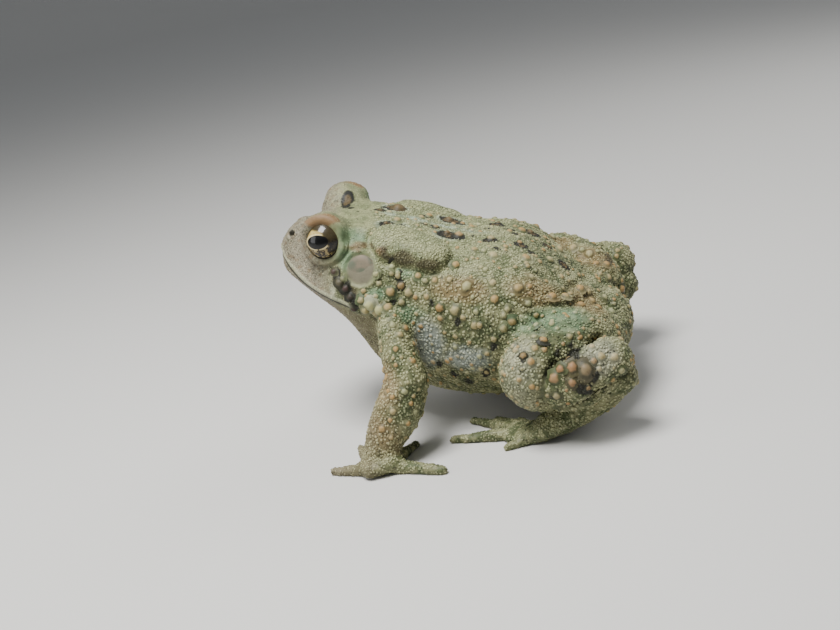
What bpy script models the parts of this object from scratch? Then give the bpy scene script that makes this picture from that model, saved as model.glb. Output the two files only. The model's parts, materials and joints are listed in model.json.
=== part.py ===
"""American toad, life size, sitting on all fours with its head raised.

The toad faces -X, its left side is -Y, and it stands on the plane Z = 0.
Sizes below are in millimetres and the meshes are made in metres.

The head, the lower jaw and the body are one lofted skin, parted by thin curved sheets
along the mouth, the throat and the neck. Every limb segment is a lofted tube that is cut
back where it meets the segment it grows from, so all pieces meet face to face.
"""

import bmesh
import bpy
import numpy as np
from mathutils import Vector

MM = 0.001
GAP = 0.3

# Stations of the trunk, snout to vent, for a toad 75 long:
# back line x z, side line x z, half width, belly line x z, fullness above and below.
TRUNK = np.array([
    (-34.9, 39.0, -35.2, 35.6, 3.0, -34.8, 33.2, 1.9, 2.0),
    (-33.2, 40.9, -33.7, 34.6, 5.9, -33.2, 31.6, 1.8, 1.9),
    (-29.8, 42.3, -30.5, 32.9, 9.2, -30.0, 28.8, 1.75, 1.8),
    (-25.8, 43.2, -26.7, 31.2, 11.9, -26.6, 25.6, 1.75, 1.8),
    (-21.2, 43.8, -22.6, 29.6, 13.7, -23.6, 22.0, 1.9, 1.9),
    (-16.6, 42.6, -18.2, 28.0, 14.7, -22.0, 17.6, 2.2, 1.9),
    (-12.0, 41.0, -14.0, 26.6, 15.2, -20.2, 13.0, 2.5, 2.0),
    (-7.0, 39.2, -10.0, 25.4, 15.6, -16.8, 9.0, 2.65, 2.1),
    (-1.8, 36.9, -5.6, 24.0, 16.6, -11.8, 6.2, 2.65, 2.2),
    (3.6, 35.2, 0.6, 22.2, 18.4, -5.2, 4.2, 2.65, 2.2),
    (9.0, 33.8, 7.4, 20.6, 19.4, 2.8, 3.0, 2.6, 2.2),
    (14.4, 31.2, 14.0, 19.2, 19.0, 11.6, 3.0, 2.5, 2.2),
    (19.0, 27.2, 20.0, 18.0, 16.4, 19.0, 4.0, 2.3, 2.1),
    (23.0, 23.1, 25.0, 16.4, 12.6, 25.0, 6.0, 2.1, 2.1),
    (26.8, 19.9, 28.2, 14.6, 8.4, 28.4, 8.4, 2.0, 2.0),
])
SNOUT_TIP = np.array((-35.7, 36.4))
VENT_TIP = np.array((30.6, 14.8))
HEAD_STATIONS = 6
HEAD_RINGS = 20
BODY_RINGS = 18
TRUNK_SIDES = 40
END_RINGS = 3

# Head and body lean about a line along the near flank, so the far side sits higher.
LEAN = np.radians(4.0)
LEAN_LINE = np.array((-10.0, 35.0))

# The eyes, the eardrums and the line of the mouth.
EYE_CENTRE = np.array((-23.6, 8.3, 40.2))
EYE_RADIUS = 4.4
LID_THICKNESS = 0.75
EYE_AXIS = np.array((-0.02, 0.98, 0.18))
EYE_OPENING = (3.6, 3.85)
EARDRUM_CENTRE = np.array((-17.0, 13.2, 35.0))
EARDRUM_RADIUS = 3.0
EARDRUM_THICKNESS = 1.2
MOUTH_FRONT = np.array((-35.4, 33.7))
MOUTH_CORNER = np.array((-19.2, 27.6))
MOUTH_ARCH = 0.5
NECK_TOP = np.array((-11.9, 60.0))
NECK_BOTTOM = np.array((-13.0, 25.8))
THROAT_END = np.array((-29.0, 17.0))
SHEET_REACH = 40.0

# Limbs of the left side: x y z of the middle, half width, half height, from root to tip.
UPPER_ARM = [(-12.0, -9.5, 24.0, 4.4, 5.4), (-12.2, -15.0, 22.6, 3.5, 4.6),
             (-11.3, -18.8, 18.8, 3.4, 4.0), (-10.0, -21.2, 14.8, 3.7, 4.0)]
FOREARM = [(-10.0, -20.8, 15.0, 3.5, 4.0), (-11.9, -22.8, 11.0, 4.0, 4.5),
           (-14.4, -24.9, 7.0, 3.6, 4.0), (-16.5, -26.6, 3.6, 3.0, 2.9)]
PALM = [(-14.6, -26.8, 2.0, 3.5, 2.2), (-18.8, -28.0, 1.4, 3.9, 1.6)]
THIGH = [(22.5, -7.0, 14.0, 7.0, 6.6), (20.0, -12.5, 15.0, 7.4, 7.4),
         (16.0, -17.6, 15.4, 6.8, 7.6), (13.0, -21.0, 13.3, 5.8, 7.2)]
SHANK = [(18.0, -22.8, 12.2, 4.2, 5.4), (20.5, -22.6, 12.9, 4.7, 5.9),
         (24.0, -21.6, 13.9, 4.5, 5.2), (27.4, -20.2, 14.6, 3.9, 4.3)]
TARSUS = [(28.4, -18.8, 10.6, 3.0, 3.2), (24.0, -18.6, 7.2, 3.0, 3.1),
          (18.5, -19.2, 4.2, 3.1, 2.8), (13.8, -19.6, 2.6, 3.5, 2.2)]
SOLE = [(13.4, -19.4, 1.7, 3.5, 1.9), (9.6, -18.4, 1.2, 3.7, 1.4), (6.8, -17.8, 0.8, 3.0, 1.0)]

# Fingers and toes of the left side, inner one first: x y and radius from root to tip.
FINGERS = [
    [(-14.0, -28.0, 1.3), (-9.0, -29.4, 1.2), (-4.4, -30.4, 0.9)],
    [(-15.5, -26.0, 1.2), (-13.0, -22.0, 1.0), (-11.6, -18.6, 0.8)],
    [(-18.5, -26.5, 1.3), (-21.0, -22.0, 1.0), (-22.8, -18.2, 0.8)],
    [(-19.5, -28.4, 1.2), (-22.8, -28.0, 1.0), (-25.8, -27.4, 0.8)],
]
TOES = [
    [(12.0, -17.6, 1.1), (9.4, -14.4, 0.95), (7.6, -11.8, 0.75)],
    [(10.5, -17.2, 1.2), (6.4, -13.6, 1.0), (3.2, -10.6, 0.75)],
    [(9.0, -17.4, 1.3), (3.6, -13.8, 1.05), (-1.6, -10.2, 0.8)],
    [(8.5, -18.4, 1.35), (2.0, -18.4, 1.1), (-4.4, -18.0, 0.8)],
    [(11.5, -20.4, 1.2), (9.0, -22.0, 1.0), (6.6, -23.2, 0.75)],
]
PRESSED = 0.25
FAR_LEG_OUT = 1.6
FAR_LEG_LIFT = 4.6
LIMB_RINGS = 8
LIMB_SIDES = 14
DIGIT_RINGS = 4
DIGIT_SIDES = 7

# The larger warts of the left side, on the upright toad: x y z and radius.
WARTS = {
    "torso": [(3.0, -16.0, 30.1, 1.2), (-2.5, -16.6, 27.0, 1.1), (0.5, -17.3, 26.5, 1.2),
              (-8.2, -15.0, 30.0, 1.1), (4.2, -18.4, 23.6, 1.1), (1.4, -13.4, 34.4, 1.0),
              (11.9, -15.9, 28.4, 1.2), (7.8, -17.5, 27.6, 1.1), (10.4, -18.4, 23.9, 1.1),
              (-5.0, -3.3, 40.6, 1.0), (0.7, -7.3, 37.6, 1.1), (13.4, -8.0, 32.6, 1.1),
              (7.4, -4.0, 36.2, 1.1), (18.6, -4.6, 29.6, 1.1), (22.6, -10.0, 21.8, 1.1),
              (7.2, -11.6, 33.4, 1.1)],
    "head": [(-16.2, -15.2, 28.9, 1.2), (-16.8, -13.9, 31.6, 0.9)],
    "shank": [(19.0, -26.0, 15.6, 1.1), (23.0, -25.6, 15.5, 1.3), (26.2, -23.9, 16.8, 1.0),
              (19.8, -26.4, 12.4, 1.0)],
    "thigh": [(13.0, -24.8, 18.1, 1.0), (16.2, -22.8, 20.5, 1.0)],
    "forearm": [(-12.4, -26.6, 11.4, 1.0), (-10.2, -24.4, 14.2, 1.0)],
}
WART_SEED = 7
WART_SCATTER = 0.7
WART_CLEAR = 0.8
WART_SUNK = 0.6
WART_SIDES = 6
WART_SHOULDER = 0.38
WART_TAPER = 0.72
WART_HEIGHT = 0.65
NOSTRIL = np.array((-31.9, 4.2, 40.8))
NOSTRIL_RADIUS = 0.55

SKIN_TAN = (0.30, 0.28, 0.17)
SKIN_PALE = (0.42, 0.43, 0.33)
DRUM_GREY = (0.30, 0.27, 0.24)
EYE_GOLD = (0.42, 0.30, 0.08)


def clear_scene():
    """Remove every object of the scene."""
    for thing in list(bpy.data.objects):
        bpy.data.objects.remove(thing, do_unlink=True)


def make_material(name, colour, roughness):
    """A plain Principled material with a skin or eye colour."""
    material = bpy.data.materials.new(name)
    material.use_nodes = True
    shader = material.node_tree.nodes["Principled BSDF"]
    shader.inputs["Base Color"].default_value = (*colour, 1.0)
    shader.inputs["Roughness"].default_value = roughness
    shader.inputs["Metallic"].default_value = 0.0
    return material


def through(rows, steps):
    """Points of a smooth Catmull-Rom curve through the rows, at the given row numbers."""
    rows = np.asarray(rows, float)
    first = np.clip(steps.astype(int), 0, len(rows) - 2)
    part = (steps - first)[:, None]
    padded = np.vstack([2 * rows[0] - rows[1], rows, 2 * rows[-1] - rows[-2]])
    a, b, c, d = (padded[first + k] for k in range(4))
    cubic = 3 * b - a - 3 * c + d
    square = 2 * a - 5 * b + 4 * c - d
    return 0.5 * (2 * b + (c - a) * part + square * part**2 + cubic * part**3)


def closed_loft(rings):
    """Vertices and faces of a skin over the rings, with a point closing each end."""
    count, sides, _ = rings.shape
    row = np.arange(count - 1)[:, None] * sides
    here = np.arange(sides)
    following = (here + 1) % sides
    quads = np.stack([row + here, row + following, row + sides + following, row + sides + here], -1)
    points = np.vstack([rings.reshape(-1, 3), rings[0].mean(0), rings[-1].mean(0)])
    last = (count - 1) * sides
    start = [(count * sides, b, a) for a, b in zip(here, following)]
    end = [(count * sides + 1, last + a, last + b) for a, b in zip(here, following)]
    return points, quads.reshape(-1, 4).tolist() + start + end


def add_object(name, points, faces):
    """A mesh object from points in millimetres, with its faces pointing out."""
    mesh = bpy.data.meshes.new(name)
    mesh.from_pydata((np.asarray(points) * MM).tolist(), [], faces)
    work = bmesh.new()
    work.from_mesh(mesh)
    bmesh.ops.recalc_face_normals(work, faces=work.faces)
    bmesh.ops.triangulate(work, faces=work.faces)
    work.to_mesh(mesh)
    work.free()
    thing = bpy.data.objects.new(name, mesh)
    bpy.context.scene.collection.objects.link(thing)
    return thing


def leaned(points):
    """Points of the upright head and body, turned about the line that they lean on."""
    points = np.array(points, float)
    across, up = points[..., 1] - LEAN_LINE[0], points[..., 2] - LEAN_LINE[1]
    points[..., 1] = LEAN_LINE[0] + across * np.cos(LEAN) - up * np.sin(LEAN)
    points[..., 2] = LEAN_LINE[1] + up * np.cos(LEAN) + across * np.sin(LEAN)
    return points


def add_leaned(name, rings):
    """A closed loft that belongs to the head or the body, as an object."""
    points, faces = closed_loft(rings)
    return add_object(name, leaned(points), faces)


def loose_surfaces(work):
    """The separate surfaces of a bmesh, each a list of faces, smallest first."""
    unseen = set(work.faces)
    surfaces = []
    while unseen:
        stack = [unseen.pop()]
        surface = []
        while stack:
            face = stack.pop()
            surface.append(face)
            for edge in face.edges:
                for other in edge.link_faces:
                    if other in unseen:
                        unseen.remove(other)
                        stack.append(other)
        surfaces.append(surface)
    return sorted(surfaces, key=len)


def keep_surface(mesh, rank=-1):
    """Keep one separate surface of the mesh, by its rank in size, and delete the others."""
    work = bmesh.new()
    work.from_mesh(mesh)
    surfaces = loose_surfaces(work)
    kept = surfaces[rank]
    loose = [face for surface in surfaces if surface is not kept for face in surface]
    bmesh.ops.delete(work, geom=loose, context="FACES")
    work.to_mesh(mesh)
    work.free()


def boolean(target, operation, cutters, one_surface=True):
    """Join or cut the target with closed objects, which are then removed."""
    group = bpy.data.collections.new("tools")
    for cutter in cutters:
        group.objects.link(cutter)
    modifier = target.modifiers.new("boolean", "BOOLEAN")
    modifier.operation = operation
    modifier.operand_type = "COLLECTION"
    modifier.collection = group
    modifier.solver = "EXACT"
    graph = bpy.context.evaluated_depsgraph_get()
    result = bpy.data.meshes.new_from_object(target.evaluated_get(graph))
    target.modifiers.remove(modifier)
    target.data = result
    for cutter in cutters:
        bpy.data.objects.remove(cutter, do_unlink=True)
    bpy.data.collections.remove(group)
    if one_surface:
        keep_surface(target.data)
    return target


def swollen(thing, distance=GAP):
    """A copy of the object with its surface moved out by the distance."""
    copy = bpy.data.objects.new(thing.name + "_swollen", thing.data.copy())
    bpy.context.scene.collection.objects.link(copy)
    count = len(copy.data.vertices)
    points = np.empty(count * 3)
    normals = np.empty(count * 3)
    copy.data.vertices.foreach_get("co", points)
    copy.data.vertices.foreach_get("normal", normals)
    copy.data.vertices.foreach_set("co", points + normals * distance * MM)
    copy.data.update()
    return copy


def trunk_rings():
    """Rings of head and body: round above and below the side line, by each station's fullness."""
    stations = len(TRUNK) - 1
    steps = np.r_[np.linspace(0, HEAD_STATIONS, HEAD_RINGS, endpoint=False),
                  np.linspace(HEAD_STATIONS, stations, BODY_RINGS)]
    rows = through(TRUNK, steps)
    rows = np.vstack([end_rows(rows[0], SNOUT_TIP)[::-1], rows, end_rows(rows[-1], VENT_TIP)])
    angle = np.linspace(0, 2 * np.pi, TRUNK_SIDES, endpoint=False)
    above = np.sin(angle)[None] >= 0
    power = 2 / np.where(above, rows[:, 7:8], rows[:, 8:9])
    across = np.sign(np.cos(angle)) * np.abs(np.cos(angle))**power
    rise = np.abs(np.sin(angle))**power
    line = np.where(above[..., None], rows[:, None, 0:2], rows[:, None, 5:7])
    side = rows[:, None, 2:4]
    side_view = side + rise[..., None] * (line - side)
    return np.stack([side_view[..., 0], rows[:, 4:5] * across, side_view[..., 1]], -1)


def end_rows(row, tip):
    """Stations that shrink from the row to the tip, like the end of a rounded rod."""
    rows = []
    for step in range(1, END_RINGS + 1):
        turn = np.pi / 2 * step / (END_RINGS + 0.5)
        shrunk = row.copy()
        for column in (0, 2, 5):
            middle = row[2:4]
            out = middle + (tip - middle) * np.sin(turn)
            shrunk[column:column + 2] = out + (row[column:column + 2] - middle) * np.cos(turn)
        shrunk[4] = row[4] * np.cos(turn)
        rows.append(shrunk)
    return np.array(rows)


def distance_to_segment(points, start, end):
    """Distance of each point from the straight line between start and end."""
    start = np.array(start)
    run = np.array(end) - start
    share = np.clip((points - start) @ run / (run @ run), 0, 1)
    return np.linalg.norm(points - start - share[..., None] * run, axis=-1)


def ridge(points, start, end, radius, height, flatness=2):
    """A fold along a segment, highest on it and fading out over the radius."""
    away = distance_to_segment(points, start, end)
    return height * np.exp(-(away / radius)**flatness)


def mouth_height(x):
    """Height of the mouth line at x: straight from lip to corner, arched a little upwards."""
    share = (x - MOUTH_FRONT[0]) / (MOUTH_CORNER[0] - MOUTH_FRONT[0])
    straight = MOUTH_FRONT[1] + share * (MOUTH_CORNER[1] - MOUTH_FRONT[1])
    return straight + MOUTH_ARCH * 4 * share * (1 - share)


def ring_normals(rings):
    """Outward direction at each point of a set of rings."""
    along = np.gradient(rings, axis=0)
    around = np.roll(rings, -1, 1) - np.roll(rings, 1, 1)
    normal = np.cross(around, along)
    return normal / np.maximum(np.linalg.norm(normal, axis=-1, keepdims=True), 1e-9)


def raise_folds(rings):
    """Head and shoulder forms, the same on both sides: crests, glands, lips and ear rings."""
    points = rings * (1, 1, 1)
    points[..., 1] = np.abs(points[..., 1])
    height = ridge(points, (-27.6, 7.4, 42.4), (-32.6, 3.4, 40.6), 1.5, 0.8)
    height += ridge(points, (-30.0, 8.2, 37.4), (-28.4, 9.4, 37.0), 2.2, -0.6)
    height += ridge(points, (-27.0, 0, 43.2), (-18.0, 0, 44.3), 3.0, -0.9)
    height += ridge(points, (-20.0, 7.8, 43.2), (-14.0, 8.6, 41.6), 1.5, 1.0)
    height += ridge(points, (-18.8, 9.4, 41.6), (-17.8, 12.2, 38.4), 1.4, 0.8)
    height += ridge(points, (-10.6, 10.2, 39.2), (-3.6, 11.4, 36.8), 3.5, 1.6, 4)
    height += ridge(points, (-17.4, 14.8, 28.8), (-14.6, 15.2, 28.8), 2.4, 1.2)
    rim = np.linalg.norm(points - EARDRUM_CENTRE, axis=-1) - EARDRUM_RADIUS - 0.7
    height += 0.6 * np.exp(-(rim / 0.8)**2)
    over_mouth = points[..., 2] - mouth_height(points[..., 0])
    lip = 0.45 * np.exp(-((over_mouth - 1.0) / 0.9)**2)
    height += np.where(points[..., 0] < MOUTH_CORNER[0], lip, 0.0)
    return rings + ring_normals(rings) * height[..., None]


def ball(centre, radii, sides=16):
    """A closed ball or egg with its poles along Z."""
    polar = np.linspace(0, np.pi, sides // 2 + 1)[1:-1, None]
    around = np.linspace(0, 2 * np.pi, sides, endpoint=False)
    round_part = np.stack([np.sin(polar) * np.cos(around), np.sin(polar) * np.sin(around),
                           np.cos(polar) + 0 * around], -1)
    return round_part * radii + centre


def turned(centre, axis, profile, sides=20):
    """Rings turned about an axis: each profile pair is a height along it and a radius."""
    axis = axis / np.linalg.norm(axis)
    level = np.cross(axis, (0, 0, 1))
    level /= np.linalg.norm(level)
    upright = np.cross(level, axis)
    angle = np.linspace(0, 2 * np.pi, sides, endpoint=False)[:, None]
    spokes = np.cos(angle) * level + np.sin(angle) * upright
    return np.array([centre + axis * height + spokes * radius for height, radius in profile])


def tube_rings(rows, count=LIMB_RINGS, sides=LIMB_SIDES, end_count=3):
    """Oval rings along a smooth path, with rounded ends; each oval's height leans upright."""
    rows = through(rows, np.linspace(0, len(rows) - 1, count))
    middle = rows[:, :3]
    forward = np.gradient(middle, axis=0)
    forward /= np.linalg.norm(forward, axis=1, keepdims=True)
    across = np.cross(forward, (0, 0, 1))
    across /= np.linalg.norm(across, axis=1, keepdims=True)
    upright = np.cross(across, forward)
    angle = np.linspace(0, 2 * np.pi, sides, endpoint=False)[:, None]
    rings = []
    turns = np.pi / 2 * np.arange(end_count, 0, -1) / (end_count + 0.4)
    places = [(0, -1, turn) for turn in turns] + [(k, 0, 0.0) for k in range(count)]
    places += [(count - 1, 1, turn) for turn in turns[::-1]]
    for k, way, turn in places:
        out = way * rows[k, 3:5].min() * np.sin(turn) * forward[k]
        width, tall = rows[k, 3:5] * np.cos(turn)
        rings.append(middle[k] + out + np.cos(angle) * across[k] * width
                     + np.sin(angle) * upright[k] * tall)
    return np.array(rings)


def placed(rows, side, out=0.0, lift=0.0):
    """Limb rows for the left side (-1) or the right side (1), moved out and up if asked."""
    rows = np.array(rows, float)
    rows[:, 1] = -side * rows[:, 1] + side * out
    rows[:, 2] += lift
    return rows


def add_digit(name, rows, side, out=0.0):
    """A finger or toe that lies on the floor, pressed a little flat against it."""
    x, y, radius = np.array(rows).T
    rows = np.stack([x, y, radius - PRESSED, radius, radius], -1)
    return add_tube(name, placed(rows, side, out), count=DIGIT_RINGS, sides=DIGIT_SIDES,
                    end_count=2)


def add_tube(name, rows, **sizes):
    """A closed limb tube as an object."""
    return add_object(name, *closed_loft(tube_rings(rows, **sizes)))


def sheet(name, line, thickness=GAP):
    """A thin upright sheet through the whole width, that follows a line of x and z."""
    line = np.asarray(line)
    run = np.gradient(line, axis=0)
    run /= np.linalg.norm(run, axis=1, keepdims=True)
    offset = np.stack([-run[:, 1], run[:, 0]], -1) * thickness / 2
    loop = np.vstack([line + offset, (line - offset)[::-1]])
    points = [(x, y, z) for y in (-SHEET_REACH, SHEET_REACH) for x, z in loop]
    count = len(loop)
    half = len(line)
    faces = [(k, (k + 1) % count, count + (k + 1) % count, count + k) for k in range(count)]
    for k in range(half - 1):
        faces.append((k, k + 1, count - 2 - k, count - 1 - k))
        faces.append((count + k, count + k + 1, 2 * count - 2 - k, 2 * count - 1 - k))
    return add_object(name, leaned(points), faces)


def straight_line(start, end, count=2):
    """Evenly spaced points of x and z from start to end."""
    return np.linspace(start, end, count)


def mouth_line():
    """The mouth line from in front of the lips to just past its corner."""
    x = np.linspace(MOUTH_FRONT[0] - 4, MOUTH_CORNER[0], 12)
    return np.stack([x, mouth_height(x)], -1)


def floor_block():
    """A block whose top is the plane that the toad stands on."""
    points = [(x, y, z) for x in (-60, 60) for y in (-60, 60) for z in (-20, 0)]
    faces = [(0, 1, 3, 2), (4, 6, 7, 5), (0, 4, 5, 1), (2, 3, 7, 6), (0, 2, 6, 4), (1, 5, 7, 3)]
    return add_object("floor_block", points, faces)


def mirrored(point, side):
    """A point or direction of the right side (+Y) taken to the asked side."""
    return np.array(point) * (1, side, 1)


def make_trunk():
    """The whole skin of head and body, with the balls of the eyelids joined on."""
    trunk = add_leaned("trunk", raise_folds(trunk_rings()))
    lids = [add_leaned("lid", ball(mirrored(EYE_CENTRE, side), EYE_RADIUS + LID_THICKNESS))
            for side in (-1, 1)]
    return boolean(trunk, "UNION", lids)


def make_face_tools(side):
    """What is cut out of the head for an eye, its opening, an eardrum and a nostril."""
    eye = mirrored(EYE_CENTRE, side)
    axis = mirrored(EYE_AXIS, side)
    wide, tall = EYE_OPENING
    opening = turned(eye + axis * 5.2, axis, [(-3.6, 0.55), (-2.6, 0.85), (0, 1.0), (3.0, 1.0)])
    middle = eye + axis * 5.2
    level = np.cross(axis, (0, 0, 1))
    level /= np.linalg.norm(level)
    upright = np.cross(level, axis)
    offset = opening - middle
    opening = (middle + (offset @ axis)[..., None] * axis
               + (offset @ level)[..., None] * level * wide
               + (offset @ upright)[..., None] * upright * tall)
    socket = add_leaned("socket", ball(eye, EYE_RADIUS + GAP))
    nostril = add_leaned("nostril", ball(mirrored(NOSTRIL, side), NOSTRIL_RADIUS, 8))
    return [socket, add_leaned("opening", opening), drum(side, GAP), nostril]


def drum(side, extra=0.0):
    """The eardrum, a shallow lens set flush in the side of the head, or its seat."""
    centre = mirrored(EARDRUM_CENTRE, side)
    axis = mirrored((-0.08, 0.93, 0.36), side)
    deep = -EARDRUM_THICKNESS - extra
    profile = [(deep, (EARDRUM_RADIUS + extra) * 0.8), (-0.25, EARDRUM_RADIUS + extra),
               (0.15 + extra, (EARDRUM_RADIUS + extra) * 0.75)]
    if extra:
        profile[-1] = (3.0, EARDRUM_RADIUS + extra)
    return add_leaned("drum", turned(centre, axis, profile))


def parted(trunk):
    """Part the trunk into torso, head and jaw along the neck, the mouth and the throat."""
    cuts = [sheet("neck", straight_line(NECK_TOP, NECK_BOTTOM)),
            sheet("nape", straight_line(NECK_BOTTOM, MOUTH_CORNER)),
            sheet("mouth", mouth_line()),
            sheet("throat", straight_line(MOUTH_CORNER, THROAT_END))]
    boolean(trunk, "DIFFERENCE", cuts, one_surface=False)
    pieces = []
    for rank in (-1, -2, -3):
        piece = bpy.data.objects.new("piece", trunk.data.copy())
        bpy.context.scene.collection.objects.link(piece)
        keep_surface(piece.data, rank)
        pieces.append(piece)
    bpy.data.objects.remove(trunk, do_unlink=True)
    pieces.sort(key=lambda piece: np.mean([vertex.co.x for vertex in piece.data.vertices]))
    front, torso = pieces[:2], pieces[2]
    front.sort(key=lambda piece: np.mean([vertex.co.z for vertex in piece.data.vertices]))
    jaw, head = front
    for piece, name in ((torso, "torso"), (head, "head"), (jaw, "jaw")):
        piece.name = name
    return torso, head, jaw


def make_arm(side, word, body):
    """Upper arm, forearm and hand, each cut back from what it grows out of."""
    upper = add_tube(f"upper_arm_{word}", placed(UPPER_ARM, side))
    boolean(upper, "DIFFERENCE", [swollen(body)])
    forearm = add_tube(f"forearm_{word}", placed(FOREARM, side))
    for neighbour in (upper, body):
        boolean(forearm, "DIFFERENCE", [swollen(neighbour)])
    hand = add_tube(f"hand_{word}", placed(PALM, side), count=4)
    boolean(hand, "UNION", [add_digit("finger", rows, side) for rows in FINGERS])
    boolean(hand, "DIFFERENCE", [swollen(forearm), floor_block()])
    return upper, forearm, hand


def make_leg(side, word, body):
    """Thigh, shank, ankle segment and foot; the far leg is held a little higher and wider."""
    out, lift = (FAR_LEG_OUT, FAR_LEG_LIFT) if side > 0 else (0.0, 0.0)
    thigh = add_tube(f"thigh_{word}", placed(THIGH, side, out, lift))
    boolean(thigh, "DIFFERENCE", [swollen(body)])
    shank = add_tube(f"shank_{word}", placed(SHANK, side, out, lift))
    boolean(shank, "DIFFERENCE", [swollen(thigh), swollen(body)])
    ankle_rows = placed(TARSUS, side, out)
    ankle_rows[:, 2] += lift * np.linspace(1, 0, len(ankle_rows))
    ankle = add_tube(f"ankle_{word}", ankle_rows)
    boolean(ankle, "DIFFERENCE", [swollen(shank), swollen(thigh), swollen(body), floor_block()])
    foot = add_tube(f"foot_{word}", placed(SOLE, side, out), count=6)
    boolean(foot, "UNION", [add_digit("toe", rows, side, out) for rows in TOES])
    boolean(foot, "DIFFERENCE", [swollen(ankle), swollen(shank), swollen(body), floor_block()])
    return thigh, shank, ankle, foot


def wart_seats(kind, side, scatter):
    """Wished places of one kind of wart on one side, with the radius of each."""
    for x, y, z, radius in WARTS[kind]:
        seat = mirrored((x, y, z), -side)
        if kind in ("torso", "head"):
            seat = leaned(seat)
        elif kind in ("shank", "thigh") and side > 0:
            seat += (0, FAR_LEG_OUT, FAR_LEG_LIFT)
        if side > 0:
            seat += scatter.normal(0, WART_SCATTER, 3)
        yield seat, radius


def dome(seat, out, radius):
    """One wart: a short post with a rounded top, its root below the skin."""
    shoulder = WART_SHOULDER * radius
    profile = [(-WART_SUNK, radius), (shoulder, WART_TAPER * radius)]
    points, faces = closed_loft(turned(seat, out, profile, WART_SIDES))
    points[-1] += out * (WART_HEIGHT * radius - shoulder)
    return add_object("wart", points, faces)


def raise_warts(piece, kind, sides, neighbours, scatter):
    """Join low domes onto a piece, each with its root sunk in and clear of other pieces."""
    domes = []
    for side in sides:
        for wish, radius in wart_seats(kind, side, scatter):
            _, seat, out, _ = piece.closest_point_on_mesh(Vector(wish * MM))
            nearest = [(other.closest_point_on_mesh(seat)[1] - seat).length
                       for other in neighbours]
            if min(nearest) < (radius + WART_CLEAR) * MM:
                continue
            domes.append(dome(np.array(seat) / MM, np.array(out), radius))
    if domes:
        boolean(piece, "UNION", domes)


def stand_on_origin(pieces):
    """Move all pieces alike, so the middle of their box is over the origin."""
    points = [vertex.co for piece in pieces for vertex in piece.data.vertices]
    middle_x, middle_y = [(max(p[k] for p in points) + min(p[k] for p in points)) / 2
                          for k in (0, 1)]
    for piece in pieces:
        for vertex in piece.data.vertices:
            vertex.co.x -= middle_x
            vertex.co.y -= middle_y


def main():
    clear_scene()
    skin = make_material("toad_skin", SKIN_TAN, 0.6)
    pale_skin = make_material("toad_pale_skin", SKIN_PALE, 0.6)
    drum_skin = make_material("eardrum_skin", DRUM_GREY, 0.45)
    iris = make_material("eye_gold", EYE_GOLD, 0.05)
    whole = make_trunk()
    body = swollen(whole, 0.0)
    torso, head, jaw = parted(whole)
    tools = [tool for side in (-1, 1) for tool in make_face_tools(side)]
    boolean(head, "DIFFERENCE", tools)
    dressed = [(torso, skin), (head, skin), (jaw, pale_skin)]
    for side, word in ((-1, "left"), (1, "right")):
        eye = add_leaned(f"eye_{word}", ball(mirrored(EYE_CENTRE, side), EYE_RADIUS))
        eardrum = drum(side)
        eardrum.name = f"eardrum_{word}"
        dressed += [(eye, iris), (eardrum, drum_skin)]
        dressed += [(piece, skin) for piece in make_arm(side, word, body)]
        dressed += [(piece, skin) for piece in make_leg(side, word, body)]
    bpy.data.objects.remove(body, do_unlink=True)
    pieces = [piece for piece, _ in dressed]
    scatter = np.random.default_rng(WART_SEED)
    for piece in pieces:
        kind, _, word = piece.name.partition("_")
        if kind in WARTS:
            sides = {"left": [-1], "right": [1]}.get(word, [-1, 1])
            others = [other for other in pieces if other is not piece]
            raise_warts(piece, kind, sides, others, scatter)
    stand_on_origin(pieces)
    for piece, material in dressed:
        piece.data.materials.clear()
        piece.data.materials.append(material)
        piece.data.shade_smooth()


main()
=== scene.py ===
# %% [markdown]
# # American toad
# A still, life-size model of a toad that sits on all fours with its head raised.
# The packed solids are loaded first, as a frame that stays where it is. The skin, the warts
# and the eyes below are fitted to them at the same place and size, and are shown instead.

# %% Load the frame
import json

import bmesh
import bpy
import numpy as np
from mathutils import Matrix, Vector
from mathutils.bvhtree import BVHTree

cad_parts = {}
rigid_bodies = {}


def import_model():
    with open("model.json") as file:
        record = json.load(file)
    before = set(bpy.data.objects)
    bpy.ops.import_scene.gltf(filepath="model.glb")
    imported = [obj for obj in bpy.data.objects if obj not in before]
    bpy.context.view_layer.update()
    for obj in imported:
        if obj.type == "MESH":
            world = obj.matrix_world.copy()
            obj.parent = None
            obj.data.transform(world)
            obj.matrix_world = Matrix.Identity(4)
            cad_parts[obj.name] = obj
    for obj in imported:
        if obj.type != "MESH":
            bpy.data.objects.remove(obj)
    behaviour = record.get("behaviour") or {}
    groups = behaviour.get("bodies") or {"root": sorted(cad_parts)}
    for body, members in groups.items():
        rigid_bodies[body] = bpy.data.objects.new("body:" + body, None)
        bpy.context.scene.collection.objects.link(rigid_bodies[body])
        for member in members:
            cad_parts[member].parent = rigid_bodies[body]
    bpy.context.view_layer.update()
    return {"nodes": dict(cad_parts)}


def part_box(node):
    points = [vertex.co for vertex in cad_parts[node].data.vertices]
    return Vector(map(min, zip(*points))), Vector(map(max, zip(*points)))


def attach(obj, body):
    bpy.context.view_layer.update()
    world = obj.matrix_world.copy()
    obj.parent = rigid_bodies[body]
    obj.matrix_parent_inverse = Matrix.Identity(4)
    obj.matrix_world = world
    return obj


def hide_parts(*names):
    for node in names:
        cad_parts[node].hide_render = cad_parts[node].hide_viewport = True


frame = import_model()
MM = 0.001
for thing in list(bpy.data.objects):
    if thing.type in ("LIGHT", "CAMERA"):
        bpy.data.objects.remove(thing, do_unlink=True)
print("nodes in the frame:", len(frame["nodes"]))

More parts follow.
